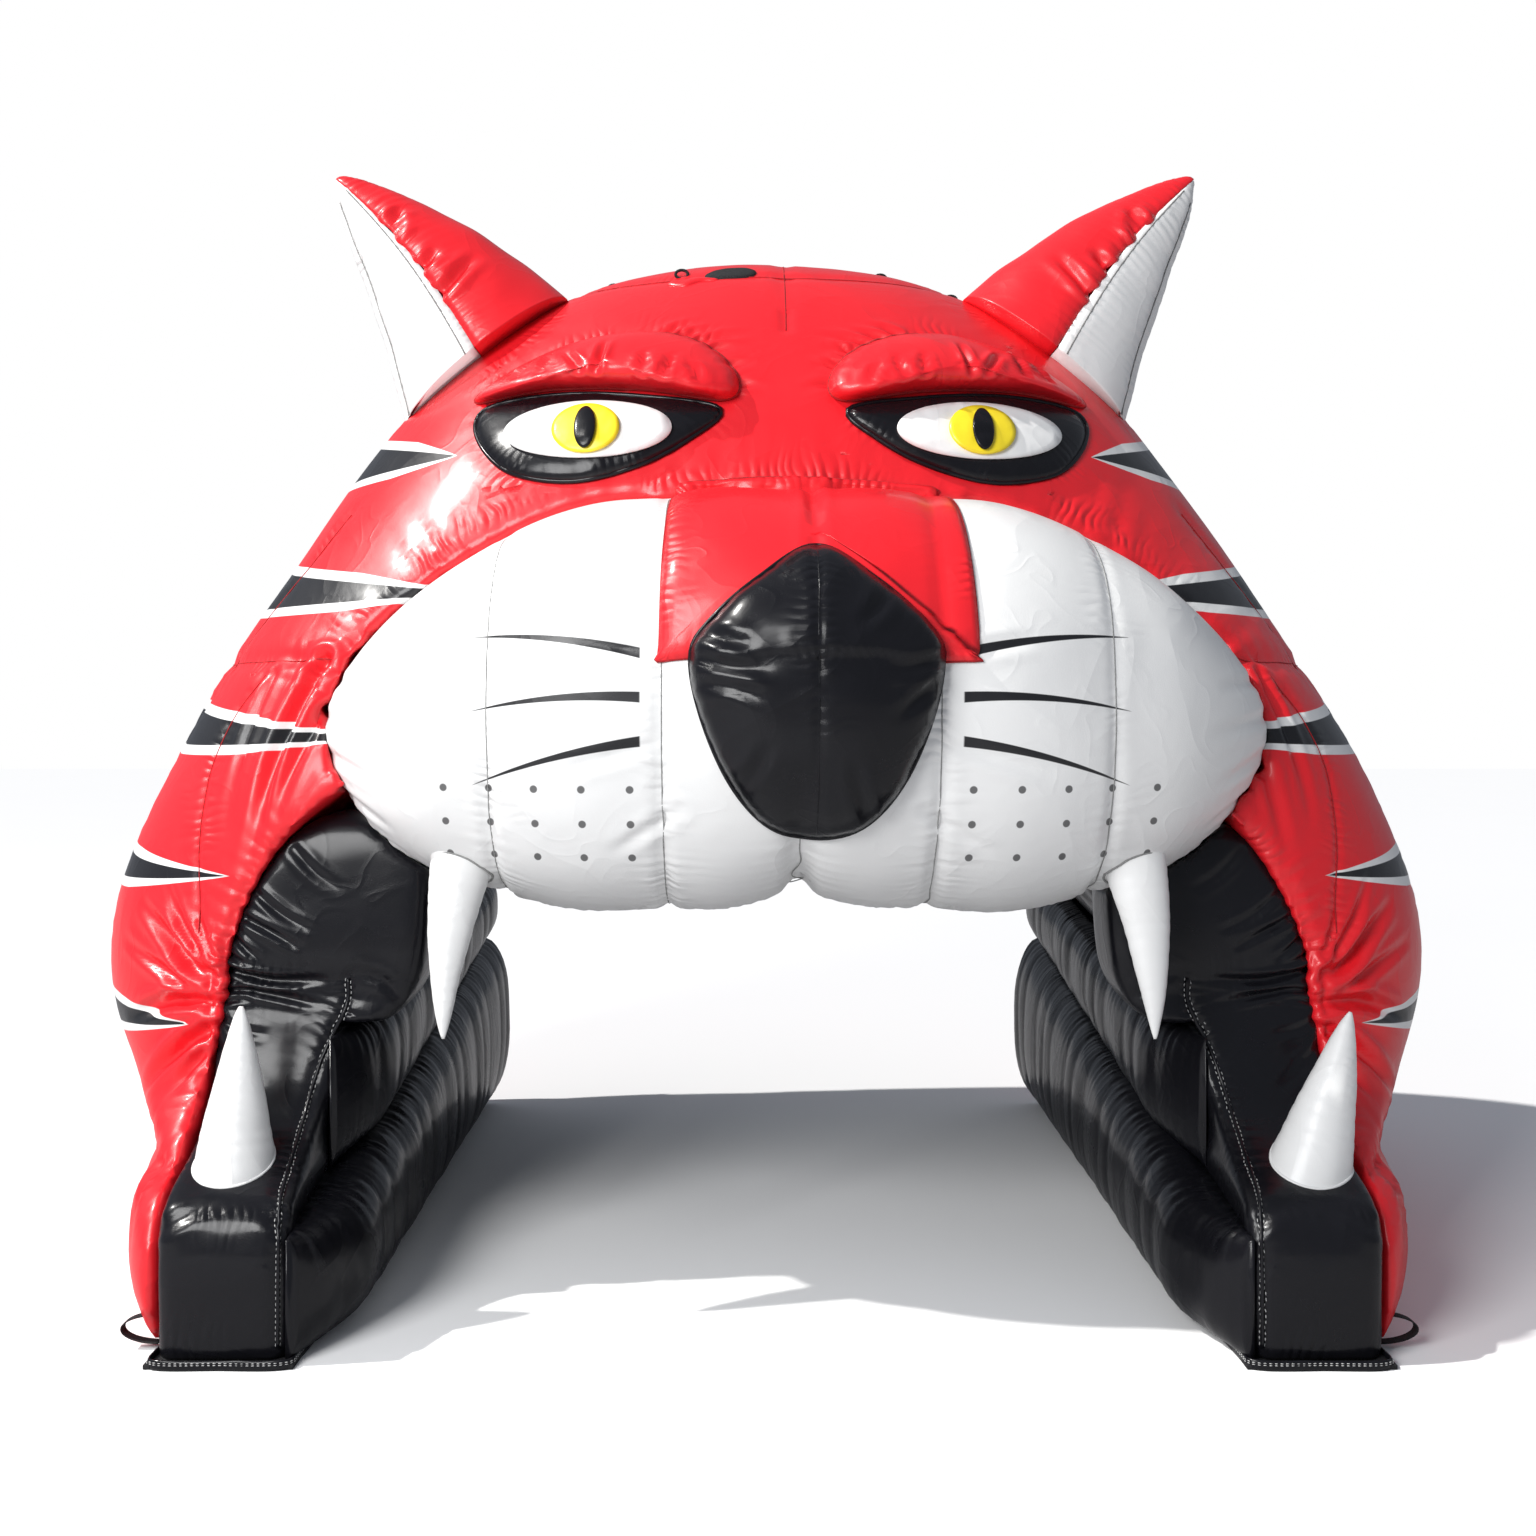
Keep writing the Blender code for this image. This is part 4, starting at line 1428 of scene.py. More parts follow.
@dataclass
class Head:
    """The red dome, cut through by the passage, in panels seamed over a crown."""

    cell: float = 0.045
    around: int = 20
    # height, half_width, front_depth, back_depth, power
    rows: tuple[tuple[float, ...], ...] = (
        (0.00, 2.60, -0.03, 4.32, 12.0),
        (0.30, 2.77, -0.05, 4.38, 10.0),
        (0.62, 2.74, 0.00, 4.38, 10.0),
        (0.84, 2.98, 0.40, 4.38, 5.0),
        (1.15, 3.29, 0.58, 4.42, 4.2),
        (1.55, 3.36, 0.60, 4.46, 4.0),
        (2.10, 3.22, 0.58, 4.46, 3.6),
        (2.80, 2.87, 0.60, 4.42, 3.0),
        (3.45, 2.50, 0.85, 4.30, 2.6),
        (4.05, 2.09, 1.05, 4.10, 2.5),
        (4.55, 1.64, 1.40, 3.80, 2.4),
        (4.88, 1.10, 1.75, 3.45, 2.2),
        (5.02, 0.50, 2.15, 3.05, 2.0),
    )
    cheek_zone: Zone = Zone((1.9, OUTSIDE), (0.78, 2.95), 1.15)
    brow_zone: Zone = Zone((-1.0, 0.62), (4.05, 4.58), 1.6, FACE_LEAN)
    cheek_folds: Folds = (
        (((2.50, 1.42), (2.60, 1.48), (2.72, 1.59), (2.92, 1.75)), 0.050, 0.030),
        (((2.50, 1.46), (2.58, 1.56), (2.68, 1.70), (2.78, 1.88)), 0.026, 0.022),
        (((2.50, 1.37), (2.62, 1.39), (2.78, 1.46), (3.02, 1.56)), 0.030, 0.024),
        (((2.50, 1.32), (2.63, 1.32), (2.76, 1.29), (2.98, 1.20)), 0.052, 0.032),
        (((2.50, 1.27), (2.58, 1.24), (2.68, 1.21)), 0.020, 0.018),
        (((2.51, 1.20), (2.64, 1.11), (2.75, 1.01), (2.86, 0.88)), 0.048, 0.032),
        (((2.52, 1.10), (2.60, 1.00), (2.69, 0.90)), 0.024, 0.022),
        (((2.49, 1.52), (2.53, 1.60), (2.57, 1.72)), 0.018, 0.018),
        (((2.04, 2.86), (2.16, 2.60), (2.25, 2.34), (2.30, 2.08), (2.36, 1.86)), 0.048, 0.036),
        (((1.98, 2.68), (2.07, 2.50), (2.16, 2.30), (2.22, 2.12), (2.28, 1.98)), 0.032, 0.028),
        (((2.30, 2.80), (2.38, 2.56), (2.44, 2.30), (2.46, 2.06)), 0.020, 0.030),
        (((2.64, 0.72), (2.66, 0.56), (2.62, 0.34)), 0.018, 0.03),
    )
    # side and height of the seam up each cheek
    cheek_seam: Corners = (
        (2.56, 1.54), (2.57, 1.76), (2.60, 2.00), (2.60, 2.22), (2.58, 2.40), (2.49, 2.62),
        (2.35, 2.79),
    )
    side_seams: tuple[float, ...] = (1.45, 2.86)
    upright_seams: tuple[float, ...] = (1.55, 3.05)
    lip_grow: float = 0.035  # from the mouth's edge to the seam round it
    lip_span: tuple[float, float] = (0.10, 2.2)  # heights that it runs between
    lip_draw: Draw = (0.018, 0.04, 0.018, 0.075, 0.11)
    cheek_draw: Draw = (0.010, 0.025, 0.005, 0.09, 0.08)
    crown_draw: Draw = (0.012, 0.035, 0.0, 0.09, 0.12)
    round_draw: Draw = (0.012, 0.04, 0.004, 0.11, 0.10)
    front_draw: Draw = (0.016, 0.05, 0.010, 0.13, 0.14)
    level_draw: Draw = (0.016, 0.05, 0.009, 0.13, 0.16)
    upright_draw: Draw = (0.016, 0.05, 0.009, 0.12, 0.14)
    waist_draw: Draw = (0.075, 0.085, 0.010, 0.14, 0.16)
    brim_draw: Draw = (0.0, 0.05, 0.016, 0.15, 0.16)
    ear_draw: Draw = (0.0, 0.05, 0.010, 0.09, 0.12)
    pad_draw: Draw = (0.006, 0.04, 0.004, 0.12, 0.10)

    def blank(self, muzzle: Thing, jaws: Sequence[Thing]) -> Thing:
        """The smooth, full shape, cut for what it holds.

        Args:
            muzzle: the muzzle's full shape.
            jaws: the jaws' full shapes.

        Returns:
            The skin.
        """
        rows = [(high, -half, half, *row) for high, half, *row in self.rows]
        shape = lofted("head_shell_skin", plan_rings(rows, self.around), sharp_below=FOOT + 0.001)
        softened(shape, 4)
        line = arch_line(ARCH_HALF, ARCH_HIGH)
        line[line[:, 1] < 0.001, 1] = -OUTSIDE
        mouth = [in_place(line[:, 0], depth, line[:, 1]) for depth in (-OUTSIDE, VAULT_FRONT)]
        cut(shape, lofted("cut_mouth", np.array(mouth)))
        line = arch_line(PASSAGE_HALF, PASSAGE_HIGH)
        upper = line[line[:, 1] > seam_height(2, BEHIND)]
        sections = []
        for depth in (VAULT_FRONT - 0.5, BEHIND):
            top = seam_height(2, depth)
            right = np.array([(TUBE_OUTER, -OUTSIDE), (TUBE_OUTER, top), (PASSAGE_HALF, top)])
            section = np.vstack([right, upper, right[::-1] * (-1, 1)])
            sections.append(in_place(section[:, 0], depth, section[:, 1]))
        cut(shape, lofted("cut_passage", np.array(sections)))
        cut(shape, swollen(muzzle, CLEARANCE))
        for jaw in jaws:
            cut(shape, swollen(jaw, CLEARANCE))
        return shape

    def lip_seams(self, under: Surface) -> list[Seam]:
        """The seams round the mouth, with the strong gathers of the cheeks.

        Args:
            under: the skin.

        Returns:
            The seams.
        """
        made = []
        arch = arch_line(ARCH_HALF + self.lip_grow, ARCH_HIGH + self.lip_grow)
        low, top = self.lip_span
        shares = (0.2, 0.3, 0.5, 0.9, 1.2, 1.1, 0.8, 0.5, 0.3)
        for side in Side:
            part = arch[(arch[:, 0] * side.value > 0) & (arch[:, 1] > low) & (arch[:, 1] < top)]
            part = part[np.argsort(part[:, 1])]
            line = stepped(under.from_front(stepped(part, 0.03)), 0.03)
            made.append(Seam(line, *self.lip_draw, seed=side.value + 2.0, strengths=shares))
            for corners, depth, width in self.cheek_folds:
                flat = curve(mirrored(corners, side), 0.02)
                fade = (0.8, 1.0, 0.8, 0.35, 0.0)
                made.append(under.crease(flat, depth, width, fade, depth * 0.5))
            line = under.from_front(curve(mirrored(self.cheek_seam, side), 0.02))
            made.append(Seam(line, *self.cheek_draw, seed=side.value + 9.0, sewn=True))
        return made

    def panel_seams(self, under: Surface) -> list[Seam]:
        """The seams between the dome's panels.

        Args:
            under: the skin.

        Returns:
            The seams.
        """
        crown = under.around((FACE_LEAN + 0.015, 0.3, 3.4), True, 46, 200)
        round_crown = under.around((0.05, 0.45, 4.83), False, 0, 360)
        made = [
            Seam(crown, *self.crown_draw, sewn=True, calm=0.10),
            Seam(round_crown, *self.round_draw, seed=3.0, sewn=True, calm=0.05),
        ]
        for high in self.side_seams:
            if high > PASSAGE_HIGH:
                line = under.around((0, 0.9, high), False, 0, 180)
                made.append(Seam(line, *self.front_draw, seed=high, sewn=True, calm=0.02))
        for side in Side:
            for high in self.side_seams:
                depths = np.linspace(*((0.66, 3.0) if high > PASSAGE_HIGH else (1.7, 4.3)), 80)
                line = under.from_side(side, np.stack([depths, np.full(80, high)], axis=1))
                seed = high + side.value
                made.append(Seam(line, *self.level_draw, seed=seed, sewn=True, calm=0.02))
            for depth in self.upright_seams:
                heights = np.linspace(0.15, 3.6 if depth < 2.0 else 4.4, 90)
                line = under.from_side(side, np.stack([np.full(90, depth), heights], axis=1))
                seed = depth + side.value
                made.append(Seam(line, *self.upright_draw, seed=seed, sewn=True, calm=0.02))
            depths = np.linspace(0.02, 4.2, 80)
            line = under.from_side(side, np.stack([depths, 0.70 + 0.02 * depths], axis=1))
            shares = (0.6, 1.0, 0.9, 0.6, 0.5, 0.5)
            made.append(Seam(line, *self.waist_draw, seed=side.value + 4.0, strengths=shares))
        return made

    def build(self, shape: Thing, muzzle: Muzzle) -> tuple[Thing, Thing]:
        """Draw the seams and gathers into the full shape; gives the skin and its threads.

        Args:
            shape: the full shape.
            muzzle: gives the line that it presses along.

        Returns:
            Skin and threads.
        """
        skin = finer(finer(even(shape, self.cell, 4), self.cheek_zone), self.brow_zone)
        under = Surface(skin)
        seams = self.lip_seams(under) + self.panel_seams(under)
        brim = under.from_front(muzzle.outline(0.05))
        seams.append(Seam(brim, *self.brim_draw, seed=8.0))
        face = Face()
        for side in Side:
            line = Ear(side).foot_line(under)
            seams.append(Seam(line, *self.ear_draw, seed=side.value + 5.0))
            for corners in (face.brow, face.eye):
                flat = curve(mirrored(corners, side, FACE_LEAN), 0.03, closed=True)
                line = under.from_front(flat)
                seams.append(Seam(line, *self.pad_draw, seed=side.value + 1.0))
            for corners in face.frown:
                flat = curve(mirrored(corners, side, FACE_LEAN), 0.02)
                seams.append(under.crease(flat, 0.014, 0.022, (1.0, 0.8, 0.3, 0.0), 0.008))
        relieve(skin, seams, slack=0.014, cloud=0.7, floor=FOOT)
        return skin, threads(skin, seams, THREAD)


@dataclass
class Vault:
    """The padded black vault over the passage, standing on the upper tubes."""

    cell: float = 0.050
    draw: Draw = (0.030, 0.07, 0.012, 0.10, 0.10)

    def build(self, muzzle: Thing) -> Thing:
        """Build it clear of the muzzle.

        Args:
            muzzle: the muzzle's full shape.

        Returns:
            The skin.
        """
        outer = arch_line(PASSAGE_HALF - 0.001, PASSAGE_HIGH - 0.001)
        inner = arch_line(VAULT_HALF, VAULT_HIGH)
        clear = seam_height(2, BEHIND)
        rings = []
        for depth in np.linspace(VAULT_FRONT, BACK_DEPTH, 8):
            foot = seam_height(2, depth)
            section = []
            for line, edge in ((outer, PASSAGE_HALF - 0.001), (inner[::-1], -VAULT_HALF)):
                upper = line[line[:, 1] > clear]
                section += [(edge, foot), *upper, (-edge, foot)]
            section = np.array(section)
            rings.append(in_place(section[:, 0], depth, section[:, 1]))
        shape = lofted("throat_vault_skin", np.array(rings))
        cut(shape, swollen(muzzle, CLEARANCE))
        skin = even(shape, self.cell, 5)
        seams = []
        for depth in np.arange(1.9, 4.2, 0.45):
            line = in_place(inner[:, 0], depth, inner[:, 1])[inner[:, 1] > 1.6]
            seams.append(Seam(line, *self.draw, seed=depth))
        return relieve(skin, seams, slack=0.008, cloud=0.4)


@dataclass
class WallTube:
    """A ribbed air tube along one wall of the passage."""

    side: Side
    level: int
    crowns: tuple[float, float] = (1.68, 1.75)
    fronts: tuple[float, float] = (0.03, 0.70)
    rib: float = 0.30
    rib_depth: float = 0.016
    swell: float = 0.55
    power: float = 2.6
    points: int = 22
    upper_draw: Draw = (0.004, 0.03, 0.010, 0.070, 0.14)
    lower_draw: Draw = (0.004, 0.03, 0.010, 0.080, 0.14)

    def build(self) -> Thing:
        """Build the tube with its ribs and the gathers along its long seams.

        Returns:
            The skin.
        """
        front = self.fronts[self.level]
        reach = TUBE_OUTER - self.crowns[self.level]
        word = ("lower", "upper")[self.level]
        angles = math.pi * (np.arange(self.points) / (self.points - 1) - 0.5)
        across, up = power_point(angles, self.power)
        depths = np.linspace(front, BACK_DEPTH, round((BACK_DEPTH - front) / 0.0185))
        rings, tops = [], []
        for depth in depths:
            bottom, top = seam_height(self.level, depth), seam_height(self.level + 1, depth)
            full = math.sin(math.pi / 2 * min(1.0, 0.10 + (depth - front) / self.swell))
            phase = (depth - front) / self.rib
            phase += 0.20 * math.sin(phase * 2.3 + self.level)
            draw = self.rib_depth * (1.0 - abs(math.sin(math.pi * phase)) ** 0.7)
            inward = reach * full * across * (1 - draw / reach * across)
            heights = (bottom + top) / 2 + up * (top - bottom) / 2
            rings.append(in_place(self.side.value * (TUBE_OUTER - inward), depth, heights))
            edge = (TUBE_OUTER - 0.35 * reach * full) * self.side.value
            tops.append((edge, depth + TOE_Y, top - 0.02))
        skin = lofted(f"tube_{self.side.word}_{word}_skin", np.array(rings))
        line = stepped(np.array(tops), 0.03)
        seams = [
            Seam(line, *self.upper_draw, seed=self.level + 1.5),
            Seam(line - (0, 0, 0.52), *self.lower_draw, seed=self.level + 3.5),
        ]
        return relieve(skin, seams, slack=0.006, cloud=0.25, floor=FOOT)


# --- Sewn-on parts ---


def spot(side: float, depth: float, high: float) -> Vector:
    """A place from its side, depth behind the toes and height."""
    return Vector((side, depth + TOE_Y, high))


def oval(middle: tuple[float, float], wide: float, high: float, count: int) -> Line:
    """A closed oval as side and height."""
    angles = turns(count)
    return np.stack([middle[0] + wide * np.cos(angles), middle[1] + high * np.sin(angles)], axis=1)


@dataclass
class Pad:
    """A puffed pad sewn on round its edge.

    Its face stands off what carries it by the rim at its edge and by the puff at its middle.
    """

    name: str
    outline: Line
    puff: float
    rim: float
    sink: float = 0.02
    fall: float = 0.0
    layers: int = 14
    fullness: float = 0.5
    above: bool = False  # laid on from above, its outline a side and a depth

    def build(self, under: Surface) -> tuple[Thing, Line]:
        """Lay the pad on its carriers.

        Args:
            under: the carriers.

        Returns:
            The pad, and the line of its edge.
        """
        middle = self.outline.mean(0)
        along = np.array((0, 1, -self.fall)) / math.hypot(1, self.fall)
        if self.above:
            along = np.array((0, 0, -1))
        face, back = [], []
        for layer in range(self.layers):
            share = 1.0 - layer / self.layers
            flat = middle + (self.outline - middle) * share
            seats = under.from_above(flat) if self.above else under.from_front(flat, self.fall)
            lift = self.rim + (self.puff - self.rim) * (1 - share**2) ** self.fullness
            face.append(seats - along * lift)
            back.append(seats + along * self.sink)
        pad = lofted(self.name, np.array([*reversed(back), *face]))
        edge = face[0] + along * self.rim / 2
        return pad, np.vstack([edge, edge[:1]])


@dataclass
class Horn:
    """A padded cone from a foot to a tip: a fang, a tooth or half an ear.

    A sweep, in degrees from the side that faces outwards, gives a part of the section.
    """

    name: str
    foot: Vector
    tip: Vector
    radii: tuple[float, float]
    bow: float = 0.0
    sweep: tuple[float, float] | None = None
    sections: int = 60
    points: int = 40
    sewn: tuple[float, ...] = ()
    seam_depth: float = 0.022
    pucker: float = 0.004
    slack: float = 0.010
    # share of the length and angle of each crease's two ends
    creases: tuple[tuple[float, ...], ...] = ()
    edge_draw: Draw = (0.0, 0.03, 0.011, 0.048, 0.11)

    def ring(self, share: float, angles: np.ndarray, scale: np.ndarray | float = 1.0) -> Line:
        """Points round the cone at a share of its length.

        Args:
            share: of the length.
            angles: from the side that faces outwards.
            scale: of the radii, at each angle.

        Returns:
            The points.
        """
        axis = (self.tip - self.foot).normalized()
        outward = Vector((0, 1, 0)).cross(axis).normalized()
        outward *= math.copysign(1, self.foot.x * outward.x)
        forward = axis.cross(outward)
        forward *= math.copysign(1, -forward.y)
        outward, forward = np.array(outward), np.array(forward)
        width = 0.95 * (1 - share) ** 0.78 + 0.05
        spine = np.array(self.foot.lerp(self.tip, share))
        spine += outward * self.bow * math.sin(math.pi * share)
        across = self.radii[0] * width * np.cos(angles) * scale
        along = self.radii[1] * width * np.sin(angles) * scale
        return spine + across[:, None] * outward + along[:, None] * forward

    def line(self, degrees: float) -> Line:
        """A line up the cone at an angle."""
        angle = np.radians([degrees])
        return np.array([self.ring(share, angle)[0] for share in np.linspace(0, 0.985, 60)])

    def build(self) -> Thing:
        """Build the cone with the puckers of its seams.

        Returns:
            The skin.
        """
        angles = turns(self.points)
        if self.sweep:
            angles = np.radians(np.linspace(*self.sweep, self.points))
        length = (self.tip - self.foot).length
        rings = []
        for section in range(self.sections):
            share = section / (self.sections - 1)
            fold = folds(np.array([share * length]), 0.07, self.foot.x)[0]
            scale = np.full(len(angles), 1.0 + fold * self.pucker / self.radii[0])
            if self.sweep:
                edge = np.minimum(angles - angles[0], angles[-1] - angles)
                scale = 1.0 - 0.035 * np.exp(-((edge / 0.10) ** 2))
            rings.append(self.ring(share, angles, scale))
        skin = lofted(f"{self.name}_skin", np.array(rings))
        seams = [Seam(self.line(angle), *self.edge_draw, seed=angle) for angle in self.sweep or ()]
        for start, first, end, last in self.creases:
            ends = zip(np.linspace(start, end, 12), np.linspace(first, last, 12))
            line = np.array([self.ring(share, np.radians([angle]))[0] for share, angle in ends])
            fade = (0.8, 1.0, 0.7, 0.0)
            seams.append(Seam(line, 0.030, 0.030, 0.0, strengths=fade, ridge=0.018))
        draw = (self.seam_depth, 0.035, self.seam_depth * 0.3, 0.08, 0.09)
        for angle in self.sewn:
            seams.append(Seam(self.line(angle), *draw, seed=angle, sewn=True))
        return relieve(skin, seams, slack=self.slack, cloud=0.2)

    def edge(self, under: Surface) -> Line:
        """Where the cone leaves what it stands on, closed.

        Args:
            under: what it stands on.

        Returns:
            The line.
        """
        angles = turns(48)
        outer, inner = self.ring(0.7, angles), self.ring(0.0, angles)
        line = under.hits(
            (Vector(high), Vector(low - high).normalized()) for high, low in zip(outer, inner)
        )
        return np.vstack([line, line[:2]])


@dataclass
class Ear:
    """A gusseted ear: a red back half and a white outer half."""

    side: Side
    foot: tuple[float, float, float] = (1.46, 2.05, 4.44)  # side, depth, height
    tip: tuple[float, float, float] = (2.25, 2.05, 5.41)
    radii: tuple[float, float] = (0.54, 0.42)
    bow: float = -0.05
    gusset: tuple[float, ...] = (24.0,)  # angle of the seam down the white half
    edges: tuple[float, ...] = (-84.0, 84.0)  # angles of the threads along its edges
    creases: tuple[tuple[float, ...], ...] = (
        (0.66, 92.0, 0.70, 128.0),
        (0.62, 92.0, 0.64, 116.0),
        (0.28, 92.0, 0.33, 132.0),
        (0.42, 92.0, 0.44, 112.0),
        (0.12, 200.0, 0.30, 236.0),
        (0.50, 268.0, 0.46, 236.0),
    )

    def ends(self) -> tuple[Vector, Vector]:
        """Its foot and its tip."""
        turn = self.side.value
        return tuple(spot(side * turn, *place) for side, *place in (self.foot, self.tip))

    def foot_line(self, under: Surface) -> Line:
        """Where the ear meets the head, a little outside it.

        Args:
            under: the head.

        Returns:
            The line.
        """
        foot, tip = self.ends()
        axis = (tip - foot).normalized()
        outward = Vector((0, 1, 0)).cross(axis).normalized()
        forward = axis.cross(outward)
        wide, deep = outward * self.radii[0], forward * self.radii[1]
        spread = [wide * math.cos(angle) + deep * math.sin(angle) for angle in turns(60)]
        return under.hits((tip + off * 1.02 + axis, -axis) for off in spread)

    def build(self) -> list[Thing]:
        """Build both halves and the threads of the outer one.

        Returns:
            Outer half, back half and threads.
        """
        word, shape = self.side.word, (*self.ends(), self.radii, self.bow)
        outer = Horn(f"ear_{word}_outer", *shape, (-90, 90), 120, sewn=self.gusset)
        back = Horn(f"ear_{word}_back", *shape, (90, 270), 120, creases=self.creases)
        skin = outer.build()
        sewn = [Seam(outer.line(angle)[:-4], sewn=True) for angle in (*self.gusset, *self.edges)]
        return [skin, back.build(), threads(skin, sewn, 0.004)]


@dataclass
class Face:
    """Brows, eyes, bridge and nose."""

    brow: Corners = (
        (1.50, 4.13), (1.28, 4.31), (0.95, 4.43), (0.62, 4.45), (0.36, 4.36), (0.22, 4.19),
        (0.28, 4.08), (0.68, 4.14), (1.12, 4.16),
    )
    # folds of the forehead that start at a brow
    frown: tuple[Corners, ...] = (
        ((0.55, 4.46), (0.48, 4.49), (0.40, 4.50)),
        ((0.48, 4.43), (0.40, 4.45), (0.30, 4.46)),
        ((0.40, 4.39), (0.30, 4.42), (0.14, 4.44)),
        ((0.34, 4.35), (0.26, 4.36), (0.18, 4.36)),
        ((0.27, 4.26), (0.20, 4.27), (0.12, 4.26)),
        ((0.22, 4.16), (0.16, 4.16), (0.08, 4.14)),
    )
    eye: Corners = (
        (1.48, 4.02), (1.38, 4.10), (1.05, 4.13), (0.66, 4.10), (0.30, 4.03), (0.44, 3.88),
        (0.68, 3.75), (0.98, 3.68), (1.27, 3.73), (1.43, 3.87),
    )
    # creases of a brow, the nose and the bridge
    brow_creases: tuple[Corners, ...] = (
        ((1.28, 4.21), (1.24, 4.26), (1.21, 4.31)),
        ((1.15, 4.22), (1.13, 4.29), (1.12, 4.35)),
        ((0.96, 4.22), (0.99, 4.27), (1.04, 4.33)),
        ((0.88, 4.21), (0.86, 4.29), (0.84, 4.38)),
        ((0.66, 4.19), (0.65, 4.25), (0.66, 4.31)),
        ((0.56, 4.18), (0.53, 4.24), (0.53, 4.30)),
        ((0.40, 4.15), (0.41, 4.20), (0.44, 4.24)),
    )
    nose_creases: tuple[Corners, ...] = (
        ((-0.47, 2.84), (-0.34, 2.79), (-0.16, 2.80)),
        ((-0.47, 2.74), (-0.33, 2.72), (-0.20, 2.66)),
        ((-0.44, 2.93), (-0.33, 2.90), (-0.24, 2.88)),
        ((0.48, 2.84), (0.38, 2.80), (0.26, 2.80)),
        ((0.46, 2.72), (0.38, 2.66), (0.30, 2.58)),
        ((-0.30, 2.32), (-0.24, 2.40), (-0.20, 2.50)),
        ((0.20, 2.20), (0.16, 2.32), (0.14, 2.44)),
        ((0.28, 3.10), (0.22, 3.02), (0.14, 2.96)),
    )
    bridge_creases: tuple[Corners, ...] = (((0.0, 4.14), (0.0, 3.6), (0.0, 3.15)),)
    eye_middle: tuple[float, float] = (0.92, 3.93)
    # piece, half_width, half_height, finish
    eye_layers: tuple[tuple[str, float, float, str], ...] = (
        ("eye_white", 0.40, 0.145, "white"),
        ("iris", 0.16, 0.125, "yellow"),
        ("pupil", 0.05, 0.105, "black"),
    )
    nose_half: Corners = (
        (0.00, 3.30), (0.24, 3.16), (0.43, 2.99), (0.51, 2.85), (0.47, 2.61), (0.35, 2.33),
        (0.19, 2.15),
    )
    nose_bottom: tuple[float, float] = (0.00, 2.10)
    bridge: Corners = (
        (-0.61, 4.02), (-0.60, 4.11), (-0.52, 4.14), (0.00, 4.16), (0.52, 4.14),
        (0.60, 4.11), (0.61, 4.02), (0.64, 3.40), (0.655, 2.98), (0.645, 2.89),
        (0.56, 2.87), (-0.56, 2.87), (-0.635, 2.89), (-0.635, 2.98), (-0.63, 3.40),
    )
    bridge_fall: float = 0.5

    def creases(
        self, pad: Thing, flats: Iterable[Line], depth: float, width: float, fall: float = 0.0
    ) -> list[Seam]:
        """Short creases on a pad, laid on with a fall, that fade at one end.

        Args:
            pad: the pad.
            flats: corners of each, as side and height.
            depth: of a crease.
            width: of a crease.
            fall: how far down they are looked for, per metre back.

        Returns:
            The creases.
        """
        under, fade = Surface(pad), (0.4, 1.0, 0.7, 0.0)
        return [
            under.crease(curve(flat, 0.02), depth, width, fade, depth * 0.6, fall) for flat in flats
        ]

    def build_eyes(self, head: Thing, shop: Workshop) -> list[Thing]:
        """Build both eyes and fit them; gives the black pads.

        Args:
            head: the head's skin.
            shop: dresses the pieces.

        Returns:
            The pads.
        """
        pads = []
        for side in Side:
            outline = curve(mirrored(self.eye, side, FACE_LEAN), 0.03, closed=True)
            pad, edge = Pad(f"eye_{side.word}_skin", outline, 0.07, 0.02).build(Surface(head))
            rim = Seam(edge, 0.0, 0.02, 0.004, 0.07, 0.06, seed=side.value + 3.0)
            relieve(pad, [rim], slack=0.004, cloud=0.2)
            pads.append(shop.pad(pad, "black", 0.8))
            shop.fit(piping(f"eye_{side.word}_piping", edge, 0.013), "black")
            middle = (self.eye_middle[0] * side.value + FACE_LEAN, self.eye_middle[1])
            carrier = pad
            for piece, wide, high, finish in self.eye_layers:
                shape = oval(middle, wide, high, 72)
                layer = Pad(f"{piece}_{side.word}_skin", shape, 0.026, 0.018, 0.01, layers=8)
                carrier = shop.pad(layer.build(Surface(carrier))[0], finish, 0.8)
        return pads

    def build_brows(self, head: Thing, eyes: Sequence[Thing], shop: Workshop) -> None:
        """Build both brows and fit them.

        Args:
            head: the head's skin.
            eyes: the eyes' pads.
            shop: dresses the pieces.
        """
        for side, eye in zip(Side, eyes):
            outline = curve(mirrored(self.brow, side, FACE_LEAN), 0.015, closed=True)
            brow = Pad(f"brow_{side.word}_skin", outline, 0.21, 0.03, layers=22)
            pad, edge = brow.build(Surface(head, eye))
            flats = (mirrored(corners, side, FACE_LEAN) for corners in self.brow_creases)
            seams = self.creases(pad, flats, 0.026, 0.019)
            seams.append(Seam(edge, 0.0, 0.02, 0.003, 0.085, 0.07, seed=side.value + 6.0))
            relieve(pad, seams, slack=0.008, cloud=0.25)
            shop.pad(pad, "red")
            shop.fit(piping(f"brow_{side.word}_piping", edge, 0.009), "seam_red")

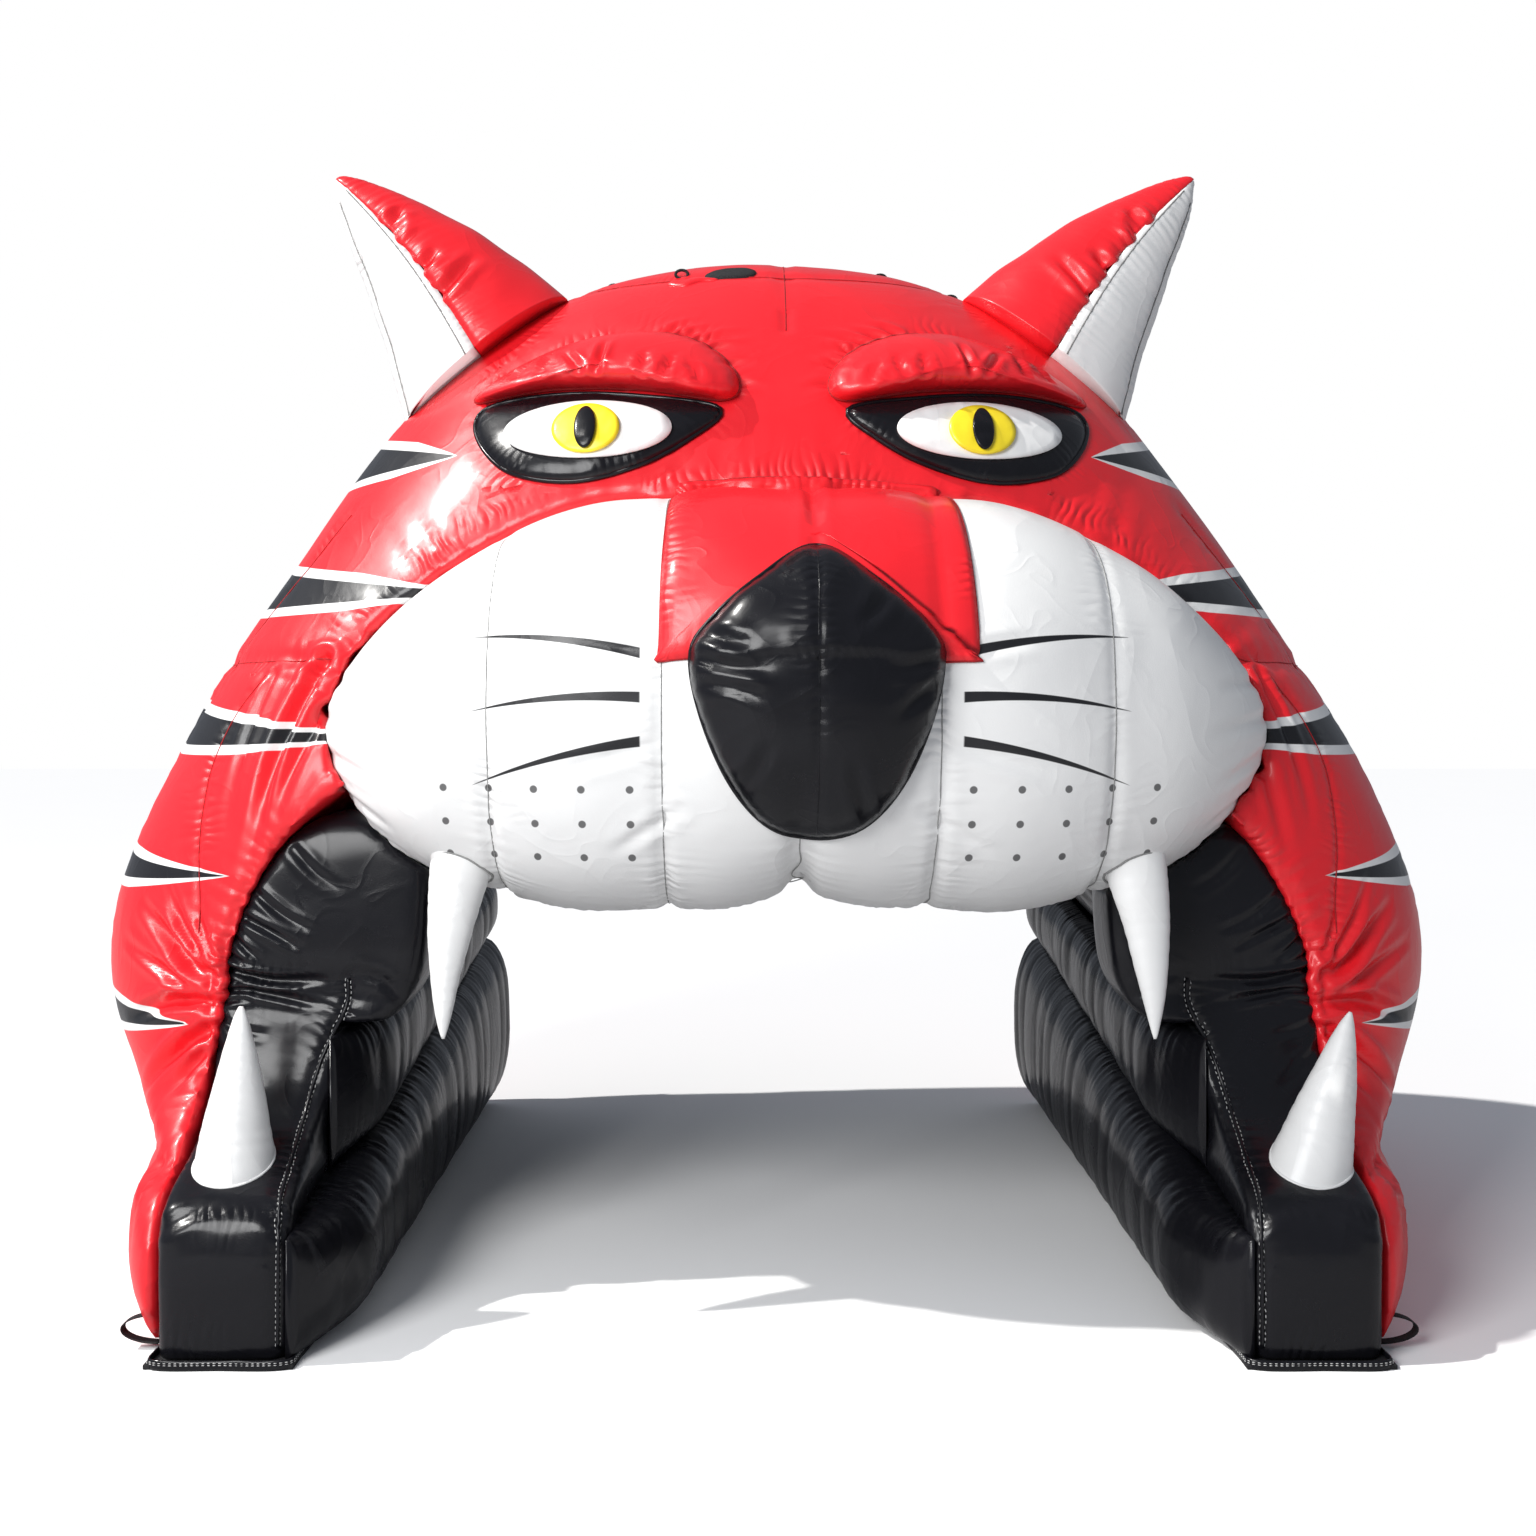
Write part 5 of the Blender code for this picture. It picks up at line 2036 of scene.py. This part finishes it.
    def build_bridge(self, head: Thing, muzzle: Thing, shop: Workshop) -> Thing:
        """Build the bridge and fit it.

        Args:
            head: the head's skin.
            muzzle: the muzzle's skin.
            shop: dresses the pieces.

        Returns:
            The bridge.
        """
        outline = curve(mirrored(self.bridge, Side.RIGHT, NOSE_LEAN), 0.04, closed=True)
        panel = Pad("nose_bridge_skin", outline, 0.045, 0.015, fall=self.bridge_fall, layers=24)
        pad, edge = panel.build(Surface(head, muzzle))
        flats = (mirrored(corners, Side.RIGHT, NOSE_LEAN) for corners in self.bridge_creases)
        seams = self.creases(pad, flats, 0.018, 0.03, self.bridge_fall)
        seams.append(Seam(edge, 0.0, 0.02, 0.004, 0.09, 0.08, seed=4.5))
        relieve(pad, seams, slack=0.006, cloud=0.3)
        shop.pad(pad, "red", 0.8)
        shop.fit(piping("nose_bridge_piping", edge, 0.006), "seam_red")
        return pad

    def build_nose(self, muzzle: Thing, bridge: Thing, shop: Workshop) -> None:
        """Build the nose and fit it.

        Args:
            muzzle: the muzzle's skin.
            bridge: the bridge.
            shop: dresses the pieces.
        """
        left = ((-side, high) for side, high in self.nose_half[:0:-1])
        corners = mirrored([*self.nose_half, self.nose_bottom, *left], Side.RIGHT, NOSE_LEAN)
        outline = curve(corners, 0.03, closed=True)
        pad, edge = Pad("nose_skin", outline, 0.20, 0.03, layers=22).build(Surface(muzzle, bridge))
        flats = (mirrored(corners, Side.RIGHT, NOSE_LEAN) for corners in self.nose_creases)
        seams = self.creases(pad, flats, 0.020, 0.026)
        flat = np.array([(NOSE_LEAN, high) for high in np.linspace(2.12, 3.27, 60)])
        draw = (0.014, 0.022, 0.003, 0.06, 0.06)
        line = Surface(pad).from_front(flat)
        seams.append(Seam(line, *draw, sewn=True, strengths=(0.6, 0.5, 0.7, 1.0)))
        seams.append(Seam(edge, 0.0, 0.02, 0.006, 0.08, 0.08, seed=7.5))
        relieve(pad, seams, slack=0.012, cloud=0.24)
        shop.fit(threads(pad, seams, 0.0026), "black")
        shop.pad(pad, "black")
        shop.fit(piping("nose_piping", edge, 0.009), "black")


@dataclass
class Teeth:
    """Two fangs under the muzzle and a tooth on each foot."""

    # side, depth and height of each foot and tip
    fang: tuple[tuple[float, ...], ...] = ((1.44, 0.66, 2.10), (1.52, 0.46, 1.22))
    tooth_foot: tuple[float, float, float] = (2.25, 0.36, 0.60)
    tooth_tips: tuple[tuple[float, ...], ...] = ((-2.24, 0.42, 1.37), (2.47, 0.42, 1.35))

    def build_one(
        self, horn: Horn, carrier: Thing, radius: float, finish: str, shop: Workshop
    ) -> None:
        """Build one and fit it, with piping at its foot.

        Args:
            horn: the fang or tooth.
            carrier: what it stands on.
            radius: of the piping.
            finish: of the piping.
            shop: dresses them.
        """
        shop.pad(horn.build(), "white")
        line = horn.edge(Surface(carrier))
        shop.fit(piping(f"{horn.name}_piping", line, radius), finish)

    def build(self, muzzle: Thing, jaws: Sequence[Thing], shop: Workshop) -> None:
        """Build all four on the muzzle and the jaws.

        Args:
            muzzle: the muzzle's skin.
            jaws: the jaws' skins.
            shop: dresses the pieces.
        """
        for side, jaw, tip in zip(Side, jaws, self.tooth_tips):
            word, turn = side.word, side.value
            ends = [spot(across * turn + MUZZLE_LEAN, *place) for across, *place in self.fang]
            seam = {"seam_depth": 0.004, "slack": 0.005}
            fang = Horn(f"fang_{word}", *ends, (0.16, 0.13), 0.03, sewn=(200,), **seam)
            self.build_one(fang, muzzle, 0.006, "seam_grey", shop)
            across, *place = self.tooth_foot
            ends = [spot(across * turn, *place), spot(*tip)]
            tooth = Horn(f"tooth_{word}", *ends, (0.19, 0.19), sewn=(60,), **seam)
            self.build_one(tooth, jaw, 0.007, "white", shop)


# --- Trim ---


@dataclass
class Footing:
    """What is sewn on at one foot: the strip under the leg, the hem and the webbing loop."""

    side: Side
    inner: float = 1.90
    outer: float = 2.50
    thick: float = 0.02
    # side and depth of the hem, and its section as shares of thickness and height
    hem: Corners = (
        (2.47, 0.55), (2.48, 0.12), (2.46, 0.0), (2.20, -0.008), (1.94, 0.0), (1.905, 0.12),
        (1.89, 0.9), (1.89, 4.25),
    )
    hem_section: Corners = (
        (-0.5, 0.0), (0.5, 0.0), (0.7, 0.3), (0.5, 0.8), (0.3, 1.0), (-0.3, 1.0),
        (-0.5, 0.8),
    )
    stitch_to: float = 1.9  # how far along the hem its stitches go
    # share of half the webbing's width, and of its thickness
    tab_section: Corners = (
        (-1, 0.2), (-0.9, 0), (0.9, 0), (1, 0.2), (1, 0.8), (0.9, 1), (-0.9, 1), (-1, 0.8),
    )

    def build_strip(self) -> Thing:
        """The flat strip, its edges eased.

        Returns:
            The strip.
        """
        edges = sorted((self.side.value * self.inner, self.side.value * self.outer))
        low, high = spot(edges[0], 0.0, 0.0), spot(edges[1], BACK_DEPTH, self.thick)
        shape = box(low, high)
        bmesh.ops.bevel(
            shape,
            geom=shape.edges,
            affect="EDGES",
            offset=0.004,
            segments=2,
            profile=0.5,
            material=-1,
        )
        return mesh_of(f"base_strip_{self.side.word}_web", shape)

    def build_hem(self) -> tuple[Thing, Thing]:
        """The doubled hem round the toe's foot, and its stitches.

        Returns:
            Hem and stitches.
        """
        high, thick = 0.040, 0.010
        line = curve(mirrored(self.hem, self.side), 0.03)
        along = arcs(line)
        ahead = np.gradient(line, axis=0)
        out = np.stack([ahead[:, 1], -ahead[:, 0]], axis=1)
        out = out / np.linalg.norm(ahead, axis=1)[:, None] * -self.side.value
        lift = (0.004 * wobble(along / 0.07, 1.0))[:, None]
        share, level = np.array(self.hem_section).T
        off = (share * thick + lift * level)[:, :, None] * out[:, None]
        flat = line[:, None] + off
        hem = in_place(flat[:, :, 0], flat[:, :, 1], level * (high + lift) + 0.001)
        front = along < self.stitch_to
        rows = []
        for level in (0.60, 0.80):
            flat = (line + out * thick * 0.62)[front]
            away = np.column_stack([out[front], np.zeros(len(flat))])
            row = in_place(flat[:, 0], flat[:, 1], high * level)
            rows.append(stitches("row", row, away, 0.022, (0.015, 0.004)))
        word = self.side.word
        return lofted(f"hem_{word}", hem), joined(f"hem_{word}_stitches", rows)

    def build_tab(self) -> Thing:
        """The webbing loop.

        Returns:
            The loop.
        """
        low, high, reach, inside, depth = 0.03, 0.14, 0.15, 2.51, 0.22
        half, thick = 0.025, 0.006
        along, lift = np.array(self.tab_section).T
        angles = np.linspace(-math.pi / 2, math.pi / 2, 25)[:, None]
        out = inside + (reach + thick * lift) * np.cos(angles)
        up = (low + high) / 2 + ((high - low) / 2 + thick * lift) * np.sin(angles)
        rings = in_place(self.side.value * out, depth + along * half, up)
        return lofted(f"anchor_tab_{self.side.word}_web", rings)


@dataclass
class Vent:
    """The slit on the crown that lets the air out, under a flap."""

    middle: tuple[float, float] = (-0.18, 1.78)  # side and depth
    half: tuple[float, float] = (0.13, 0.042)
    flap_middle: tuple[float, float] = (-0.37, 1.74)
    flap_half: tuple[float, float] = (0.13, 0.035)
    # side and depth of the small loops round the crown
    loops: Corners = (
        (-1.08, 2.45), (-0.83, 2.45), (-0.43, 1.84), (0.63, 2.35), (1.02, 2.40),
        (1.62, 2.40),
    )

    def build(self, head: Thing, shop: Workshop) -> None:
        """Build the slit, its flap and the loops, and fit them.

        Args:
            head: the head's skin.
            shop: dresses the pieces.
        """
        under = Surface(head)
        outline = oval(self.middle, *self.half, 48)
        slit = Pad("crown_vent_cover", outline, 0.024, 0.012, layers=8, above=True)
        shop.fit(slit.build(under)[0], "webbing", "crown_vent")
        outline = oval(self.flap_middle, *self.flap_half, 64)
        outline[:, 1] += 0.012 * np.sin(outline[:, 0] * 34.0)
        flap = Pad("crown_vent_flap", outline, 0.017, 0.005, layers=8, above=True)
        shop.fit(relieve(flap.build(under)[0], [], slack=0.006, cloud=0.09), "red")
        angles = turns(16)
        ring = np.stack(
            [0.032 * np.cos(angles), 0.0 * angles, 0.022 * np.sin(angles) + 0.012], axis=1
        )
        ring = np.vstack([ring, ring[:2]])
        cords = [piping("loop", ring + seat, 0.008) for seat in under.from_above(self.loops)]
        shop.fit(joined("crown_loops", cords), "webbing")


# --- Set ---


@dataclass
class Studio:
    """The floor, the light and the camera."""

    eye: tuple[float, float, float] = (-0.08, TOE_Y - 6.37, 2.64)
    lens: float = 37.5
    shift: tuple[float, float] = (0.01172, -0.03971)
    floor_size: float = 60.0
    light_from: tuple[float, float, float] = (-0.88, -0.13, 1.0)
    fill_from: tuple[float, float, float] = (-6.0, TOE_Y - 8.0, 7.0)
    fill_to: tuple[float, float, float] = (0.0, 0.0, 2.4)

    def build_floor(self, ground: Ground) -> None:
        """A wide floor under the tunnel.

        Args:
            ground: its finish.
        """
        shape = bmesh.new()
        bmesh.ops.create_grid(shape, x_segments=4, y_segments=4, size=self.floor_size)
        floor = mesh_of("floor", shape)
        floor.data.materials.append(ground.material())

    def build_lights(self) -> None:
        """A pale sky, white where it is seen, a sun from the upper left and a soft fill."""
        world = bpy.data.worlds.new("studio")
        bpy.context.scene.world = world
        world.use_nodes = True
        nodes, links = world.node_tree.nodes, world.node_tree.links
        sky = nodes["Background"]
        sky.inputs["Color"].default_value = (0.80, 0.87, 1.0, 1.0)
        sky.inputs["Strength"].default_value = 0.30
        seen = nodes.new("ShaderNodeBackground")
        seen.inputs["Color"].default_value = (1.0, 1.0, 1.0, 1.0)
        ray, mix = nodes.new("ShaderNodeLightPath"), nodes.new("ShaderNodeMixShader")
        links.new(ray.outputs["Is Camera Ray"], mix.inputs[0])
        links.new(sky.outputs[0], mix.inputs[1])
        links.new(seen.outputs[0], mix.inputs[2])
        links.new(mix.outputs[0], nodes["World Output"].inputs["Surface"])
        lamp = bpy.data.lights.new("key", "SUN")
        lamp.energy, lamp.angle, lamp.color = 3.3, math.radians(1.2), (1.0, 0.98, 0.95)
        self.aim(placed("key", lamp), Vector(self.light_from))
        lamp = bpy.data.lights.new("fill", "AREA")
        lamp.energy, lamp.size, lamp.color = 1300.0, 5.0, (1.0, 1.0, 1.0)
        thing = placed("fill", lamp)
        thing.location = self.fill_from
        self.aim(thing, thing.location - Vector(self.fill_to))

    def aim(self, thing: Thing, back: Vector) -> None:
        """Turn a lamp's back to a direction."""
        thing.rotation_euler = back.to_track_quat("Z", "Y").to_euler()

    def build_camera(self) -> None:
        """A level camera in front of the mouth."""
        camera = bpy.data.cameras.new("camera")
        thing = placed("camera", camera)
        camera.sensor_width, camera.lens = 36.0, self.lens
        camera.shift_x, camera.shift_y = self.shift
        thing.location = self.eye
        thing.rotation_euler = (math.pi / 2, 0.0, 0.0)
        bpy.context.scene.camera = thing
        bpy.context.scene.view_settings.view_transform = "Standard"


def dressed() -> Workshop:
    """A workshop with all the finishes.

    Returns:
        The workshop.
    """
    red = {"colour": RED, "roughness": 0.38, "crinkle": 0.003, "coat": 0.22, "sheen": 0.38}
    white = {"colour": WHITE, "roughness": 0.42, "crinkle": 0.003, "coat": 0.10}
    shop = Workshop()
    for key, cloth, slot in (
        ("red", Vinyl("red_vinyl_cloth", **red), "red_vinyl"),
        ("striped", Vinyl("striped_vinyl_cloth", **red, marks=SideStripes()), "red_vinyl"),
        ("black", Vinyl("black_vinyl_cloth", BLACK, 0.29, sheen=0.12), "black_vinyl"),
        ("white", Vinyl("white_vinyl_cloth", **white), "white_vinyl"),
        ("whiskered", Vinyl("whiskered_vinyl_cloth", **white, marks=Whiskers()), "white_vinyl"),
        ("yellow", Vinyl("yellow_vinyl_cloth", YELLOW, 0.40, 0.002, 0.10), "yellow_vinyl"),
        ("webbing", Woven("black_webbing", BLACK), "webbing"),
        ("thread", Woven("white_thread", WHITE, 900.0), "webbing"),
        ("seam_red", Woven("red_thread", SEAM_RED, 900.0), "red_vinyl"),
        ("seam_grey", Woven("grey_thread", SEAM_GREY, 900.0), "white_vinyl"),
    ):
        shop.finish(key, cloth.material(), slot)
    return shop


def build_leg(jaw: Jaw, shape: Thing, shop: Workshop) -> Thing:
    """Build and fit a jaw and all that belongs to its side.

    Args:
        jaw: the jaw.
        shape: its smooth, full shape.
        shop: dresses the pieces.

    Returns:
        The jaw's skin.
    """
    side, word = jaw.side, jaw.side.word
    skin, edge = jaw.build(shape)
    shop.pad(skin, "black")
    under = Surface(skin)
    places, normals = under.snap(edge)
    shop.fit(piping(f"jaw_{word}_piping", places + normals * 0.004, 0.008), "black")
    name = f"jaw_{word}_stitches"
    shop.fit(stitched(name, edge, under, 0.015, 0.024, (0.017, 0.0045)), "thread")
    for level in range(2):
        shop.pad(WallTube(side, level).build(), "black")
    outer, back, thread = Ear(side).build()
    shop.pad(outer, "white")
    shop.pad(back, "red")
    shop.fit(thread, "seam_grey")
    footing = Footing(side)
    shop.fit(footing.build_strip(), "webbing", f"base_strip_{word}")
    shop.fit(footing.build_tab(), "webbing", f"anchor_tab_{word}")
    hem, rows = footing.build_hem()
    shop.fit(hem, "black")
    shop.fit(rows, "thread")
    return skin


def main() -> None:
    """Build, dress and place every piece."""
    logging.basicConfig(level=logging.INFO, format="%(name)s %(relativeCreated)d ms: %(message)s")
    shop = dressed()
    muzzle, head = Muzzle(), Head()
    muzzle_shape = muzzle.blank()
    jaws = [Jaw(side) for side in Side]
    jaw_shapes = [jaw.blank(muzzle_shape) for jaw in jaws]
    head_shape = head.blank(muzzle_shape, jaw_shapes)
    shop.pad(Vault().build(muzzle_shape), "black")
    head_skin, thread = head.build(head_shape, muzzle)
    shop.pad(head_skin, "striped")
    shop.fit(thread, "seam_red")
    muzzle_skin, thread = muzzle.build(muzzle_shape)
    shop.pad(muzzle_skin, "whiskered")
    shop.fit(thread, "seam_grey")
    jaw_skins = [build_leg(jaw, shape, shop) for jaw, shape in zip(jaws, jaw_shapes)]
    face = Face()
    eyes = face.build_eyes(head_skin, shop)
    face.build_brows(head_skin, eyes, shop)
    bridge = face.build_bridge(head_skin, muzzle_skin, shop)
    face.build_nose(muzzle_skin, bridge, shop)
    Teeth().build(muzzle_skin, jaw_skins, shop)
    Vent().build(head_skin, shop)
    log.info("%d triangles in all", shop.count)

    studio = Studio()
    studio.build_floor(Ground())
    studio.build_lights()
    studio.build_camera()


if __name__ == "__main__":
    main()
